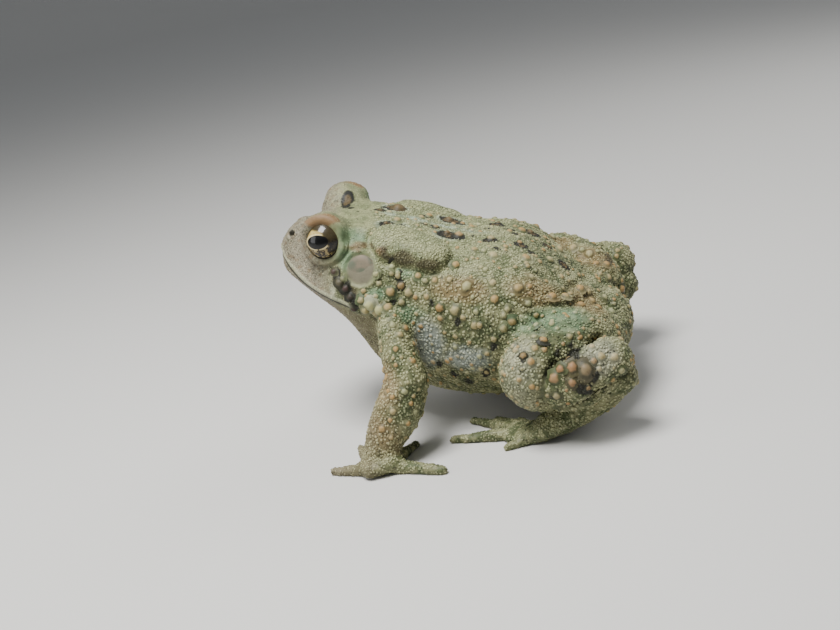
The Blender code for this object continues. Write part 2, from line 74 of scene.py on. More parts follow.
# %% [markdown]
# ## Sizes of the head and body
# A toad's trunk is one smooth sack from snout to vent. It can be described by a few stations
# along it, each with a back line, a side line and a belly line, and a smooth curve through
# the stations gives every ring between them. These are the same stations as in the solids,
# in millimetres, so the skin lies on their surface.

# %% Stations of the trunk
# Back line x z, side line x z, half width, belly line x z, fullness above and below.
TRUNK = np.array([
    (-34.9, 39.0, -35.2, 35.6, 3.0, -34.8, 33.2, 1.9, 2.0),
    (-33.2, 40.9, -33.7, 34.6, 5.9, -33.2, 31.6, 1.8, 1.9),
    (-29.8, 42.3, -30.5, 32.9, 9.2, -30.0, 28.8, 1.75, 1.8),
    (-25.8, 43.2, -26.7, 31.2, 11.9, -26.6, 25.6, 1.75, 1.8),
    (-21.2, 43.8, -22.6, 29.6, 13.7, -23.6, 22.0, 1.9, 1.9),
    (-16.6, 42.6, -18.2, 28.0, 14.7, -22.0, 17.6, 2.2, 1.9),
    (-12.0, 41.0, -14.0, 26.6, 15.2, -20.2, 13.0, 2.5, 2.0),
    (-7.0, 39.2, -10.0, 25.4, 15.6, -16.8, 9.0, 2.65, 2.1),
    (-1.8, 36.9, -5.6, 24.0, 16.6, -11.8, 6.2, 2.65, 2.2),
    (3.6, 35.2, 0.6, 22.2, 18.4, -5.2, 4.2, 2.65, 2.2),
    (9.0, 33.8, 7.4, 20.6, 19.4, 2.8, 3.0, 2.6, 2.2),
    (14.4, 31.2, 14.0, 19.2, 19.0, 11.6, 3.0, 2.5, 2.2),
    (19.0, 27.2, 20.0, 18.0, 16.4, 19.0, 4.0, 2.3, 2.1),
    (23.0, 23.1, 25.0, 16.4, 12.6, 25.0, 6.0, 2.1, 2.1),
    (26.8, 19.9, 28.2, 14.6, 8.4, 28.4, 8.4, 2.0, 2.0),
])
SNOUT_TIP = np.array((-35.7, 36.4))
VENT_TIP = np.array((30.6, 14.8))
LEAN = np.radians(4.0)
LEAN_LINE = (-10.0, 35.0)
EYE_CENTRE = np.array((-23.6, 8.3, 40.2))
EYE_RADIUS = 4.4
LID_THICKNESS = 0.75
EYE_AXIS = np.array((-0.02, 0.98, 0.18))
EYE_OPENING = (3.6, 3.85)
EARDRUM_CENTRE = np.array((-17.0, 13.2, 35.0))
EARDRUM_RADIUS = 3.0
MOUTH_FRONT = np.array((-35.4, 33.7))
MOUTH_CORNER = np.array((-19.2, 27.6))
MOUTH_ARCH = 0.5
LIP = (29.0, -0.385, 0.0166)
LIP_BACK = -22.3
NOSTRIL = np.array((-31.9, 4.2, 40.8))
PUPIL = (0.14, 0.05, 0.46, 0.28)


def leaned(points):
    """Turn points by the lean angle about a line along the near flank: the toad tips a little."""
    points = np.array(points, float)
    across, up = points[..., 1] - LEAN_LINE[0], points[..., 2] - LEAN_LINE[1]
    points[..., 1] = LEAN_LINE[0] + across * np.cos(LEAN) - up * np.sin(LEAN)
    points[..., 2] = LEAN_LINE[1] + up * np.cos(LEAN) + across * np.sin(LEAN)
    return points


def upright(points):
    """The opposite turn, from the leaning toad back to the upright one."""
    points = np.array(points, float)
    across, up = points[..., 1] - LEAN_LINE[0], points[..., 2] - LEAN_LINE[1]
    points[..., 1] = LEAN_LINE[0] + across * np.cos(LEAN) + up * np.sin(LEAN)
    points[..., 2] = LEAN_LINE[1] + up * np.cos(LEAN) - across * np.sin(LEAN)
    return points


def mirrored(point, side):
    """A point of the right side (+Y), or its mirror image where side is -1."""
    return np.array(point, float) * (1, side, 1)


eye_box = [np.array(corner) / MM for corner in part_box("eye_left")]
SHIFT = (eye_box[0] + eye_box[1]) / 2 - leaned(mirrored(EYE_CENTRE, -1))
print("the frame is moved by", SHIFT.round(3), "mm from the stations")

# %% [markdown]
# ## Surfaces from rings
# Every body part starts as a stack of rings. A smooth curve is laid through the stations,
# an oval is drawn at each of many steps along it, and the ends are closed by rings that
# shrink as the end of a rounded rod does.

# %% Curves and closed shells


def through(rows, steps):
    """A cubic between two rows, whose slope at each row is half the step round it."""
    rows = np.asarray(rows, float)
    first = np.clip(steps.astype(int), 0, len(rows) - 2)
    part = (steps - first)[:, None]
    padded = np.vstack([2 * rows[0] - rows[1], rows, 2 * rows[-1] - rows[-2]])
    a, b, c, d = (padded[first + k] for k in range(4))
    cubic = 3 * b - a - 3 * c + d
    square = 2 * a - 5 * b + 4 * c - d
    return 0.5 * (2 * b + (c - a) * part + square * part**2 + cubic * part**3)


def ring_quads(count, sides):
    """Corner numbers of the quads between neighbouring rings, for one ring after another."""
    row = np.arange(count - 1)[:, None] * sides
    here = np.arange(sides)
    following = (here + 1) % sides
    return np.stack([row + here, row + following, row + sides + following, row + sides + here], -1)


def closed_loft(rings):
    """Quads between neighbouring rings, and a fan of triangles to a middle point at each end."""
    count, sides, _ = rings.shape
    points = np.vstack([rings.reshape(-1, 3), rings[0].mean(0), rings[-1].mean(0)])
    here = np.arange(sides)
    following = (here + 1) % sides
    last = (count - 1) * sides
    start = np.stack([0 * here + count * sides, following, here], -1)
    end = np.stack([0 * here + count * sides + 1, last + here, last + following], -1)
    quads = ring_quads(count, sides).reshape(-1, 4)
    return points, quads.tolist() + start.tolist() + end.tolist()


print("half way from 0 to 1:", through([[0.0], [1.0]], np.array([0.5]))[0])

# %% Rings of the trunk
END_RINGS = 6


def end_rows(row, tip):
    """Stations that shrink to the tip: their size is the cosine, their way the sine, of a turn."""
    rows = []
    for step in range(1, END_RINGS + 1):
        turn = np.pi / 2 * step / (END_RINGS + 0.5)
        shrunk = row.copy()
        for column in (0, 2, 5):
            middle = row[2:4]
            out = middle + (tip - middle) * np.sin(turn)
            shrunk[column:column + 2] = out + (row[column:column + 2] - middle) * np.cos(turn)
        shrunk[4] = row[4] * np.cos(turn)
        rows.append(shrunk)
    return np.array(rows)


def trunk_rings(count=150, sides=150):
    """Superellipse rings: |across|^n + |up|^n = 1, with its own n above and below the side line."""
    rows = through(TRUNK, np.linspace(0, len(TRUNK) - 1, count))
    rows = np.vstack([end_rows(rows[0], SNOUT_TIP)[::-1], rows, end_rows(rows[-1], VENT_TIP)])
    angle = np.linspace(0, 2 * np.pi, sides, endpoint=False)
    above = np.sin(angle)[None] >= 0
    power = 2 / np.where(above, rows[:, 7:8], rows[:, 8:9])
    across = np.sign(np.cos(angle)) * np.abs(np.cos(angle))**power
    rise = np.abs(np.sin(angle))**power
    line = np.where(above[..., None], rows[:, None, 0:2], rows[:, None, 5:7])
    side = rows[:, None, 2:4]
    side_view = side + rise[..., None] * (line - side)
    return np.stack([side_view[..., 0], rows[:, 4:5] * across, side_view[..., 1]], -1)


print("trunk rings:", trunk_rings().shape)

# %% Rings of limbs and balls


def tube_rings(rows, count=40, sides=40, ends=6):
    """Ovals square to a smooth path, half width across it and half height upright to it."""
    rows = through(rows, np.linspace(0, len(rows) - 1, count))
    middle = rows[:, :3]
    forward = np.gradient(middle, axis=0)
    forward /= np.linalg.norm(forward, axis=1, keepdims=True)
    across = np.cross(forward, (0, 0, 1))
    across /= np.linalg.norm(across, axis=1, keepdims=True)
    upward = np.cross(across, forward)
    angle = np.linspace(0, 2 * np.pi, sides, endpoint=False)[:, None]
    turns = np.pi / 2 * np.arange(ends, 0, -1) / (ends + 0.4)
    places = [(0, -1, turn) for turn in turns] + [(k, 0, 0.0) for k in range(count)]
    places += [(count - 1, 1, turn) for turn in turns[::-1]]
    rings = []
    for k, way, turn in places:
        out = way * rows[k, 3:5].min() * np.sin(turn) * forward[k]
        width, tall = rows[k, 3:5] * np.cos(turn)
        rings.append(middle[k] + out + np.cos(angle) * across[k] * width
                     + np.sin(angle) * upward[k] * tall)
    return np.array(rings)


def ball_rings(centre, radius, sides=48):
    """Rings of a ball with its poles along Z: sine and cosine of the polar angle."""
    polar = np.linspace(0, np.pi, sides // 2 + 1)[1:-1, None]
    around = np.linspace(0, 2 * np.pi, sides, endpoint=False)
    rings = np.stack([np.sin(polar) * np.cos(around), np.sin(polar) * np.sin(around),
                      np.cos(polar) + 0 * around], -1)
    return rings * radius + centre


print("rings of a ball:", ball_rings(EYE_CENTRE, EYE_RADIUS).shape)

# %% [markdown]
# ## Legs, fingers and toes
# Each limb segment is a tube through three or four ovals. The near limbs are folded as in
# the picture, and the far hind leg is held a little higher and wider than the near one.

# %% Stations of the limbs
# Left side: x y z of the middle, half width, half height, from root to tip.
UPPER_ARM = [(-12.0, -9.5, 24.0, 4.4, 5.4), (-12.2, -15.0, 22.6, 3.5, 4.6),
             (-11.3, -18.8, 18.8, 3.4, 4.0), (-10.0, -21.2, 14.8, 3.7, 4.0)]
FOREARM = [(-10.0, -20.8, 15.0, 3.5, 4.0), (-11.9, -22.8, 11.0, 4.0, 4.5),
           (-14.4, -24.9, 7.0, 3.6, 4.0), (-16.5, -26.6, 3.6, 3.0, 2.9)]
PALM = [(-14.6, -26.8, 2.0, 3.5, 2.2), (-18.8, -28.0, 1.4, 3.9, 1.6)]
THIGH = [(22.5, -7.0, 14.0, 7.0, 6.6), (20.0, -12.5, 15.0, 7.4, 7.4),
         (16.0, -17.6, 15.4, 6.8, 7.6), (13.0, -21.0, 13.3, 5.8, 7.2)]
SHANK = [(18.0, -22.8, 12.2, 4.2, 5.4), (20.5, -22.6, 12.9, 4.7, 5.9),
         (24.0, -21.6, 13.9, 4.5, 5.2), (27.4, -20.2, 14.6, 3.9, 4.3)]
TARSUS = [(28.4, -18.8, 10.6, 3.0, 3.2), (24.0, -18.6, 7.2, 3.0, 3.1),
          (18.5, -19.2, 4.2, 3.1, 2.8), (13.8, -19.6, 2.6, 3.5, 2.2)]
SOLE = [(13.4, -19.4, 1.7, 3.5, 1.9), (9.6, -18.4, 1.2, 3.7, 1.4), (6.8, -17.8, 0.8, 3.0, 1.0)]

# Left side, inner one first: x y and radius from root to tip.
FINGERS = [
    [(-14.0, -28.0, 1.3), (-9.0, -29.4, 1.2), (-4.4, -30.4, 0.9)],
    [(-15.5, -26.0, 1.2), (-13.0, -22.0, 1.0), (-11.6, -18.6, 0.8)],
    [(-18.5, -26.5, 1.3), (-21.0, -22.0, 1.0), (-22.8, -18.2, 0.8)],
    [(-19.5, -28.4, 1.2), (-22.8, -28.0, 1.0), (-25.8, -27.4, 0.8)],
]
TOES = [
    [(12.0, -17.6, 1.1), (9.4, -14.4, 0.95), (7.6, -11.8, 0.75)],
    [(10.5, -17.2, 1.2), (6.4, -13.6, 1.0), (3.2, -10.6, 0.75)],
    [(9.0, -17.4, 1.3), (3.6, -13.8, 1.05), (-1.6, -10.2, 0.8)],
    [(8.5, -18.4, 1.35), (2.0, -18.4, 1.1), (-4.4, -18.0, 0.8)],
    [(11.5, -20.4, 1.2), (9.0, -22.0, 1.0), (6.6, -23.2, 0.75)],
]
PRESSED = 0.25
FAR_LEG_OUT = 1.6
FAR_LEG_LIFT = 4.6


def placed(rows, side, out=0.0, lift=0.0):
    """Rows of the left side as they are, or mirrored to the right, moved out and up if asked."""
    rows = np.array(rows, float)
    rows[:, 1] = -side * rows[:, 1] + side * out
    rows[:, 2] += lift
    return rows


def digit_rings(rows, side, out=0.0):
    """A finger or toe: a thin tube that lies on the floor, its middle one radius above it."""
    x, y, radius = np.array(rows).T
    rows = np.stack([x, y, radius - PRESSED, radius, radius], -1)
    return tube_rings(placed(rows, side, out), count=24, sides=20)


def limb_lofts(side):
    """All rings of one arm and one leg."""
    out, lift = (FAR_LEG_OUT, FAR_LEG_LIFT) if side > 0 else (0.0, 0.0)
    ankle = placed(TARSUS, side, out)
    ankle[:, 2] += lift * np.linspace(1, 0, len(ankle))
    lofts = [tube_rings(placed(rows, side)) for rows in (UPPER_ARM, FOREARM, PALM)]
    lofts += [tube_rings(placed(rows, side, out, lift)) for rows in (THIGH, SHANK)]
    lofts += [tube_rings(ankle), tube_rings(placed(SOLE, side, out))]
    lofts += [digit_rings(rows, side) for rows in FINGERS]
    lofts += [digit_rings(rows, side, out) for rows in TOES]
    return lofts


print("limb lofts on each side:", len(limb_lofts(-1)))

# %% [markdown]
# ## Folds that the solids share
# The crests between and behind the eyes, the long parotoid gland on the shoulder, the cheek
# gland and the lip are raised along short lines. A fold is highest on its line and fades
# away from it as a bell does, so it can be added to any set of points.

# %% Raise the folds
GLAND = [(-10.6, 10.2, 39.2), (-3.6, 11.4, 36.8)]

# Ends of each fold's line, its radius, height and flatness: crest before the eye, hollow
# under it, dip between the eyes, crests above and behind the ear, gland and cheek.
FOLDS = [
    ((-27.6, 7.4, 42.4), (-32.6, 3.4, 40.6), 1.5, 0.8),
    ((-30.0, 8.2, 37.4), (-28.4, 9.4, 37.0), 2.2, -0.6),
    ((-27.0, 0, 43.2), (-18.0, 0, 44.3), 3.0, -0.9),
    ((-20.0, 7.8, 43.2), (-14.0, 8.6, 41.6), 1.5, 1.0),
    ((-18.8, 9.4, 41.6), (-17.8, 12.2, 38.4), 1.4, 0.8),
    (*GLAND, 3.5, 1.6, 4),
    ((-17.4, 14.8, 28.8), (-14.6, 15.2, 28.8), 2.4, 1.2),
]


def one_side(points):
    """The points with left ones mirrored to the right, so one rule serves both sides."""
    points = points * (1, 1, 1)
    points[..., 1] = np.abs(points[..., 1])
    return points


def distance_to_segment(points, start, end):
    """Distance to the nearest point of a segment, found by clipping the projection to it."""
    start = np.array(start, float)
    run = np.array(end) - start
    share = np.clip((points - start) @ run / (run @ run), 0, 1)
    return np.linalg.norm(points - start - share[..., None] * run, axis=-1)


def ridge(points, start, end, radius, height, flatness=2):
    """A fold: its height times exp(-(distance / radius) ^ flatness)."""
    away = distance_to_segment(points, start, end)
    return height * np.exp(-(away / radius)**flatness)


def mouth_height(x):
    """The mouth line: straight from lip to corner, plus a low parabola between them."""
    share = (x - MOUTH_FRONT[0]) / (MOUTH_CORNER[0] - MOUTH_FRONT[0])
    straight = MOUTH_FRONT[1] + share * (MOUTH_CORNER[1] - MOUTH_FRONT[1])
    return straight + MOUTH_ARCH * 4 * share * (1 - share)


def ring_normals(rings):
    """Outward direction: the cross product of the steps round and along the rings."""
    along = np.gradient(rings, axis=0)
    around = np.roll(rings, -1, 1) - np.roll(rings, 1, 1)
    normal = np.cross(around, along)
    return normal / np.maximum(np.linalg.norm(normal, axis=-1, keepdims=True), 1e-9)


def raise_folds(rings):
    """Move the rings out by the sum of all folds, each the same on both sides."""
    points = one_side(rings)
    height = sum(ridge(points, *fold) for fold in FOLDS)
    over_mouth = points[..., 2] - mouth_height(points[..., 0])
    lip = 0.45 * np.exp(-((over_mouth - 1.0) / 0.9)**2)
    height += np.where(points[..., 0] < MOUTH_CORNER[0], lip, 0.0)
    return rings + ring_normals(rings) * height[..., None]


trunk = leaned(raise_folds(trunk_rings()))
print("trunk from", trunk.min((0, 1)).round(1), "to", trunk.max((0, 1)).round(1), "mm")

# %% [markdown]
# ## One skin
# Body, lids and limbs overlap as closed shells. A voxel remesh wraps them all in one even
# skin with no seam, as clay would be pressed over an armature. It needs no cutting, and its
# square faces are a good base for the finer forms that follow.

# %% Wrap the shells in one skin
VOXEL = 0.56


def new_mesh(name, points, faces):
    """A mesh object from points in millimetres of the stations' frame, moved onto the solids."""
    mesh = bpy.data.meshes.new(name)
    mesh.from_pydata(((np.asarray(points) + SHIFT) * MM).tolist(), [], faces)
    thing = bpy.data.objects.new(name, mesh)
    bpy.context.scene.collection.objects.link(thing)
    return thing


def joined(lofts):
    """Points and faces of many lofts as one mesh: each loft's face numbers move past the last."""
    points, faces, start = [], [], 0
    for rings in lofts:
        some_points, some_faces = closed_loft(rings)
        points.append(some_points)
        faces += [[k + start for k in face] for face in some_faces]
        start += len(some_points)
    return np.vstack(points), faces


def outward(mesh):
    """Turn all faces of closed shells so that they point out."""
    work = bmesh.new()
    work.from_mesh(mesh)
    bmesh.ops.recalc_face_normals(work, faces=work.faces)
    work.to_mesh(mesh)
    work.free()


def with_modifier(thing, kind, **settings):
    """Add one modifier and keep its result as the object's own mesh."""
    modifier = thing.modifiers.new(kind.lower(), kind)
    for name, value in settings.items():
        setattr(modifier, name, value)
    graph = bpy.context.evaluated_depsgraph_get()
    result = bpy.data.meshes.new_from_object(thing.evaluated_get(graph))
    thing.modifiers.clear()
    old = thing.data
    thing.data = result
    bpy.data.meshes.remove(old)


lids = [leaned(ball_rings(mirrored(EYE_CENTRE, side), EYE_RADIUS + LID_THICKNESS))
        for side in (-1, 1)]
skin = new_mesh("toad_skin", *joined([trunk] + lids + limb_lofts(-1) + limb_lofts(1)))
outward(skin.data)
with_modifier(skin, "REMESH", mode="VOXEL", voxel_size=VOXEL * MM)
with_modifier(skin, "SMOOTH", factor=0.5, iterations=3)
print("faces after the wrap:", len(skin.data.polygons))

# %% [markdown]
# ## A finer skin where it counts
# The head, hands and feet have folds narrower than the even faces. Only the faces there are
# divided in four, which keeps the rest of the mesh light.

# %% Divide the head, hands and feet
HEAD_END = -13.5
HEAD_FLOOR = 22
FINGERS_TOP = 2.8


def get_points(mesh, name="co"):
    """All vertex places in millimetres of the stations' frame, or all vertex normals."""
    values = np.empty(len(mesh.vertices) * 3)
    mesh.vertices.foreach_get(name, values)
    values = values.reshape(-1, 3)
    return values / MM - SHIFT if name == "co" else values


def set_points(mesh, points):
    """Put places in millimetres of the stations' frame back into the mesh."""
    mesh.vertices.foreach_set("co", ((points + SHIFT) * MM).ravel())
    mesh.update()


def divide(mesh, chosen):
    """Cut every edge between two chosen vertices in two, and fill the faces with a grid."""
    work = bmesh.new()
    work.from_mesh(mesh)
    work.verts.ensure_lookup_table()
    edges = [edge for edge in work.edges if all(chosen[vert.index] for vert in edge.verts)]
    bmesh.ops.subdivide_edges(work, edges=edges, cuts=1, use_grid_fill=True, smooth=0.4)
    work.to_mesh(mesh)
    work.free()


points = get_points(skin.data)
fine = (points[:, 0] < HEAD_END) & (points[:, 2] > HEAD_FLOOR)
fine |= (points[:, 2] < FINGERS_TOP) & (np.abs(points[:, 1]) > 8)
divide(skin.data, fine)
print("faces with a finer head, hands and feet:", len(skin.data.polygons))

# %% [markdown]
# ## Lids, eardrum rims, nostrils and the mouth
# All of these are small moves of the skin along its own normals. Round the eye the skin is
# drawn in under the eyeball inside an oval opening, and its rim stands up as the lids: a
# thick one above, two thin folds below. The eardrum is a shallow round pan with a raised
# rim. The mouth is one narrow groove.

# %% Open the eyes


def smooth_step(low, high, value):
    """0 below low, 1 above high, and the cubic 3t^2 - 2t^3 between them."""
    share = np.clip((value - low) / (high - low), 0, 1)
    return share**2 * (3 - 2 * share)


def bell(value, middle, width):
    """The bell curve exp(-((value - middle) / width)^2)."""
    return np.exp(-((value - middle) / width)**2)


def eye_frame(side):
    """The eye's centre and its outward, forward and upward directions, on the upright toad."""
    out = mirrored(EYE_AXIS, side)
    out /= np.linalg.norm(out)
    forward = np.cross(out, (0, 0, -side))
    forward /= np.linalg.norm(forward)
    return mirrored(EYE_CENTRE, side), out, forward, np.cross(out, forward) * side


def eye_oval(points, side):
    """Oval distance from the opening's middle, 1 on its edge, and how far up a point lies."""
    centre, out, forward, up = eye_frame(side)
    offset = points - centre
    level, rise = offset @ forward / EYE_OPENING[0], offset @ up / EYE_OPENING[1]
    oval = np.hypot(level, rise)
    return offset, oval, rise / np.maximum(oval, 1e-6), offset @ out


def open_eye(points, side):
    """Set the distance from the eye's centre by the oval distance from the opening's middle."""
    offset, oval, rise, outward_reach = eye_oval(points, side)
    distance = np.linalg.norm(offset, axis=1)
    facing = (outward_reach > -0.6) & (distance < EYE_RADIUS + 3.2)
    above = smooth_step(-0.1, 0.6, rise)
    below = 1 - smooth_step(-0.5, 0.1, rise)
    tucked = EYE_RADIUS - 0.9
    rim = EYE_RADIUS + LID_THICKNESS * 0.8
    wanted = tucked + (rim - tucked) * smooth_step(0.93, 1.05, oval)
    wanted += above * (0.75 * bell(oval, 1.19, 0.13) - 0.30 * bell(oval, 1.42, 0.06))
    wanted += below * (0.35 * bell(oval, 1.10, 0.05) - 0.15 * bell(oval, 1.20, 0.04)
                       + 0.30 * bell(oval, 1.30, 0.07))
    share = np.where(facing, 1 - smooth_step(1.30, 1.55, oval), 0.0)
    moved = points * 0 + mirrored(EYE_CENTRE, side) + offset / distance[:, None] * wanted[:, None]
    return points + (moved - points) * share[:, None]


face = upright(get_points(skin.data))
for side in (-1, 1):
    face = open_eye(face, side)
set_points(skin.data, leaned(face))
print("eye openings:", EYE_OPENING, "mm half wide and half high")

# %% Fold the face
EAR_FOLD = [(-19.8, 11.3, 39.0), (-17.8, 11.3, 39.6), (-15.2, 11.2, 39.4), (-12.9, 12.5, 38.2),
            (-11.4, 13.3, 36.4), (-11.0, 13.9, 34.4)]
GLAND_SWELL = (0.6, -0.3)


def lip_height(x):
    """The lip line seen in the picture: a parabola in the distance from its back end."""
    return LIP[0] + LIP[1] * (x - LIP_BACK) + LIP[2] * (x - LIP_BACK)**2


def fold_heights(points):
    """Sum of the fine folds of face, throat and ears on the upright toad, in millimetres."""
    here = one_side(points)
    over_mouth = here[:, 2] - lip_height(here[:, 0])
    before_corner = 1 - smooth_step(-19.8, -18.2, here[:, 0])
    height = before_corner * (0.25 * bell(over_mouth, 0.8, 0.45) - 0.75 * bell(over_mouth, 0, 0.30))
    away = np.linalg.norm(here - EARDRUM_CENTRE, axis=1)
    height += 0.45 * bell(away, EARDRUM_RADIUS + 0.45, 0.40)
    height -= 0.75 * (1 - smooth_step(EARDRUM_RADIUS - 0.6, EARDRUM_RADIUS + 0.1, away))
    for start, end in zip(EAR_FOLD, EAR_FOLD[1:]):
        height = np.maximum(height, ridge(here, start, end, 0.75, 0.65))
    gland = distance_to_segment(here, *GLAND)
    swell = np.where(points[:, 1] > 0, GLAND_SWELL[1], GLAND_SWELL[0])
    height += swell * (1 - smooth_step(3.2, 4.4, gland)) - 0.50 * bell(gland, 4.75, 0.55)
    hole = np.linalg.norm(here - NOSTRIL, axis=1)
    height += 0.30 * bell(hole, 0.95, 0.35) - 1.4 * bell(hole, 0, 0.5)
    cheek = ridge(here, (-15.4, 15.3, 26.0), (-11.5, 15.6, 25.4), 0.6, -0.5)
    height += cheek + ridge(here, (-22.5, 12.6, 33.6), (-18.4, 15.2, 28.2), 1.0, 0.35)
    return height


normals = get_points(skin.data, "normal")
points = get_points(skin.data)
set_points(skin.data, points + normals * fold_heights(upright(points))[:, None])
print("lids, eardrums, nostrils and mouth shaped")

# %% [markdown]
# ## Creases of the body
# Where a leg is folded the skin tucks in along a line, pressed here by a bell curve of the
# distance to it. Fine wrinkles run along the groin and behind the gland: they are sine waves
# held to their places by bell curves. Slow lumps over the whole skin, sums of many waves,
# keep the light from lying evenly on it.

# %% Add creases and unevenness
RNG = np.random.default_rng(11)


def uneven(points, waves, length, seed):
    """Smooth unevenness of about -1 to 1: the sum of sine waves in random directions."""
    rng = np.random.default_rng(seed)
    ways = rng.normal(size=(waves, 3))
    ways /= np.linalg.norm(ways, axis=1, keepdims=True)
    ways *= 2 * np.pi / (length * rng.uniform(0.7, 1.4, (waves, 1)))
    shifts = rng.uniform(0, 2 * np.pi, waves)
    return np.sin(points @ ways.T + shifts).mean(1) * np.sqrt(waves) / 1.6


# Between knee and shank, under the shank, and over the knee: line, half width and depth.
LEG_CREASES = [
    ([(14.6, -25.2, 11.6), (16.4, -25.4, 15.0), (18.0, -24.9, 17.2), (19.7, -24.2, 18.3),
      (21.1, -23.3, 18.7), (23.6, -21.1, 18.8), (25.7, -16.1, 17.4)], 0.85, 2.1),
    ([(14.3, -24.9, 8.6), (17.6, -25.2, 7.9), (21.3, -25.8, 8.8), (25.0, -25.0, 10.4),
      (28.6, -22.9, 11.6), (30.8, -21.0, 12.8)], 0.85, 1.7),
    ([(8.4, -20.6, 18.6), (9.9, -19.9, 20.4), (11.9, -19.6, 22.0), (14.2, -18.8, 23.0),
      (16.5, -17.4, 23.5), (19.0, -15.5, 23.5)], 0.9, 0.8)]
RUMP_DIP = [(15.6, 12.5, 29.6), (19.5, 9.5, 27.3), (22.7, 8.2, 24.1), (25.7, 7.0, 21.4),
            (29.2, 6.0, 18.0)]


def line_bell(points, line, width):
    """Bell curve of the distance to the nearest part of a line through several points."""
    away = [distance_to_segment(points, start, end) for start, end in zip(line, line[1:])]
    return bell(np.min(away, axis=0), 0, width)


def fold_lines(points):
    """Depth of the creases of both legs, in millimetres."""
    depth = 0
    for line, width, deep in LEG_CREASES:
        far = mirrored(line, -1) + (0, FAR_LEG_OUT, FAR_LEG_LIFT)
        depth += deep * (line_bell(points, line, width) + line_bell(points, far, width))
    return depth


def keep_number(mesh, name, values):
    """Keep one number on every point of the mesh, for a finish to read."""
    layer = mesh.attributes.new(name, "FLOAT", "POINT")
    layer.data.foreach_set("value", values.astype(np.float32))


def crease_heights(points):
    """Wrinkles and slow lumps over the whole skin, in millimetres."""
    x, y, z = one_side(points).T
    height = 0.16 * uneven(points, 24, 7.0, 3) + 0.07 * uneven(points, 24, 2.6, 4)
    groin = bell(x, 17, 8) * bell(z, 23.2, 3.0)
    wavy = z + 0.35 * x + 0.3 * uneven(points, 8, 5, 5)
    height += 0.36 * groin * np.sin(2 * np.pi * wavy / 1.7)
    nape = bell(x, 0.6, 1.6) * bell(z, 34.5, 2.6) * (y > 9)
    height += 0.22 * nape * np.sin(2 * np.pi * (x + 0.2 * z) / 1.4)
    return height


normals = get_points(skin.data, "normal")
points = get_points(skin.data)
calm = 1 - 0.6 * (1 - smooth_step(-17, -13, points[:, 0]))
depth = fold_lines(points)
height = crease_heights(points) * calm - depth - 1.5 * line_bell(points, RUMP_DIP, 2.0)
height -= 0.7 * line_bell(points, mirrored(RUMP_DIP, -1) + (0, 1.5, 0), 1.8)
set_points(skin.data, points + normals * height[:, None])
# The crease depth is kept as well, so the finish can paint shade into the creases.
keep_number(skin.data, "crease", np.clip(depth / 1.3, 0, 1))
skin.data.shade_smooth()
print("skin box:", get_points(skin.data).min(0).round(1), get_points(skin.data).max(0).round(1))

# %% [markdown]
# ## Warts
# Each large wart is a round hill with a soft foot, so it seems to swell out of the skin.
# Its side view is a bell curve. The ones in the picture are set one by one, as x, y, z
# and radius, then snapped to the skin, and many smaller ones are scattered between them.

# %% Places of the large warts
# Left side of the upright toad, whose legs stay as they are when it leans: x y z and radius.
FLANK_WARTS = [
    (3.0, -15.9, 30.1, 1.05), (-2.5, -16.3, 27.0, 0.95), (0.4, -17.0, 26.5, 1.05),
    (-8.3, -14.8, 30.0, 0.9), (3.7, -18.0, 23.6, 0.85), (1.4, -13.4, 34.4, 0.75),
    (1.7, -17.5, 25.1, 0.6), (-11.7, -14.7, 30.5, 0.95), (-9.6, -14.4, 31.4, 0.8),
    (-10.0, -14.9, 28.4, 0.75), (-12.5, -15.9, 27.6, 0.9), (-0.2, -15.1, 31.7, 0.65),
    (-3.0, -14.8, 31.8, 0.6), (-6.1, -14.3, 32.9, 0.65), (-13.6, -14.7, 32.5, 0.65),
    (11.9, -15.6, 28.4, 0.95), (7.8, -17.2, 27.5, 0.85), (7.7, -15.6, 30.2, 0.75),
    (10.6, -18.0, 23.9, 0.95), (4.8, -18.1, 23.5, 0.7), (8.8, -18.4, 22.8, 0.85),
    (13.2, -16.6, 25.9, 0.7), (6.9, -18.3, 21.0, 0.7), (3.6, -17.6, 17.7, 0.65),
    (20.1, -11.7, 25.2, 0.9), (17.8, -13.7, 25.9, 0.9), (22.6, -11.0, 22.5, 0.9),
    (24.9, -7.0, 21.9, 0.8), (25.4, -8.4, 20.3, 0.8), (27.6, -6.3, 18.3, 0.9),
    (22.7, -6.5, 24.8, 0.9), (26.7, -4.2, 20.6, 0.75), (14.6, -12.4, 29.4, 0.8),
]
FACE_WARTS = [
    (-16.7, -13.6, 31.0, 0.6), (-20.4, -13.9, 31.8, 0.75), (-21.5, -13.3, 32.9, 0.8),
    (-22.4, -12.4, 34.9, 0.7), (-18.9, -14.9, 28.7, 0.7), (-20.8, -13.6, 33.8, 0.6),
    (-19.6, -14.5, 30.2, 0.7), (-15.8, -15.4, 28.9, 1.10), (-17.4, -15.3, 29.7, 0.75),
    (-14.1, -15.3, 27.6, 1.1), (-15.0, -15.4, 27.2, 0.8), (-17.0, -15.4, 28.0, 0.8),
    (-14.6, -15.0, 29.9, 0.6), (-16.2, -15.2, 30.4, 0.5),
]
BACK_WARTS = [
    (-11.1, 2.6, 42.0, 1.25), (-10.3, -3.8, 42.0, 0.8), (-5.1, 2.2, 40.0, 0.75),
    (-1.4, 3.0, 38.4, 0.8), (1.2, 2.6, 37.5, 0.6), (-3.1, -2.6, 39.2, 0.6),
    (-1.0, -3.9, 38.0, 0.65), (1.0, -4.0, 37.0, 0.95), (6.8, -3.6, 35.6, 0.9),
    (7.6, -9.6, 33.6, 0.9), (12.0, 3.4, 33.6, 0.9), (13.0, -8.0, 31.0, 0.9),
    (17.4, -4.2, 29.4, 0.95), (18.8, 3.8, 28.4, 0.9), (4.2, -8.4, 35.0, 0.7),
]
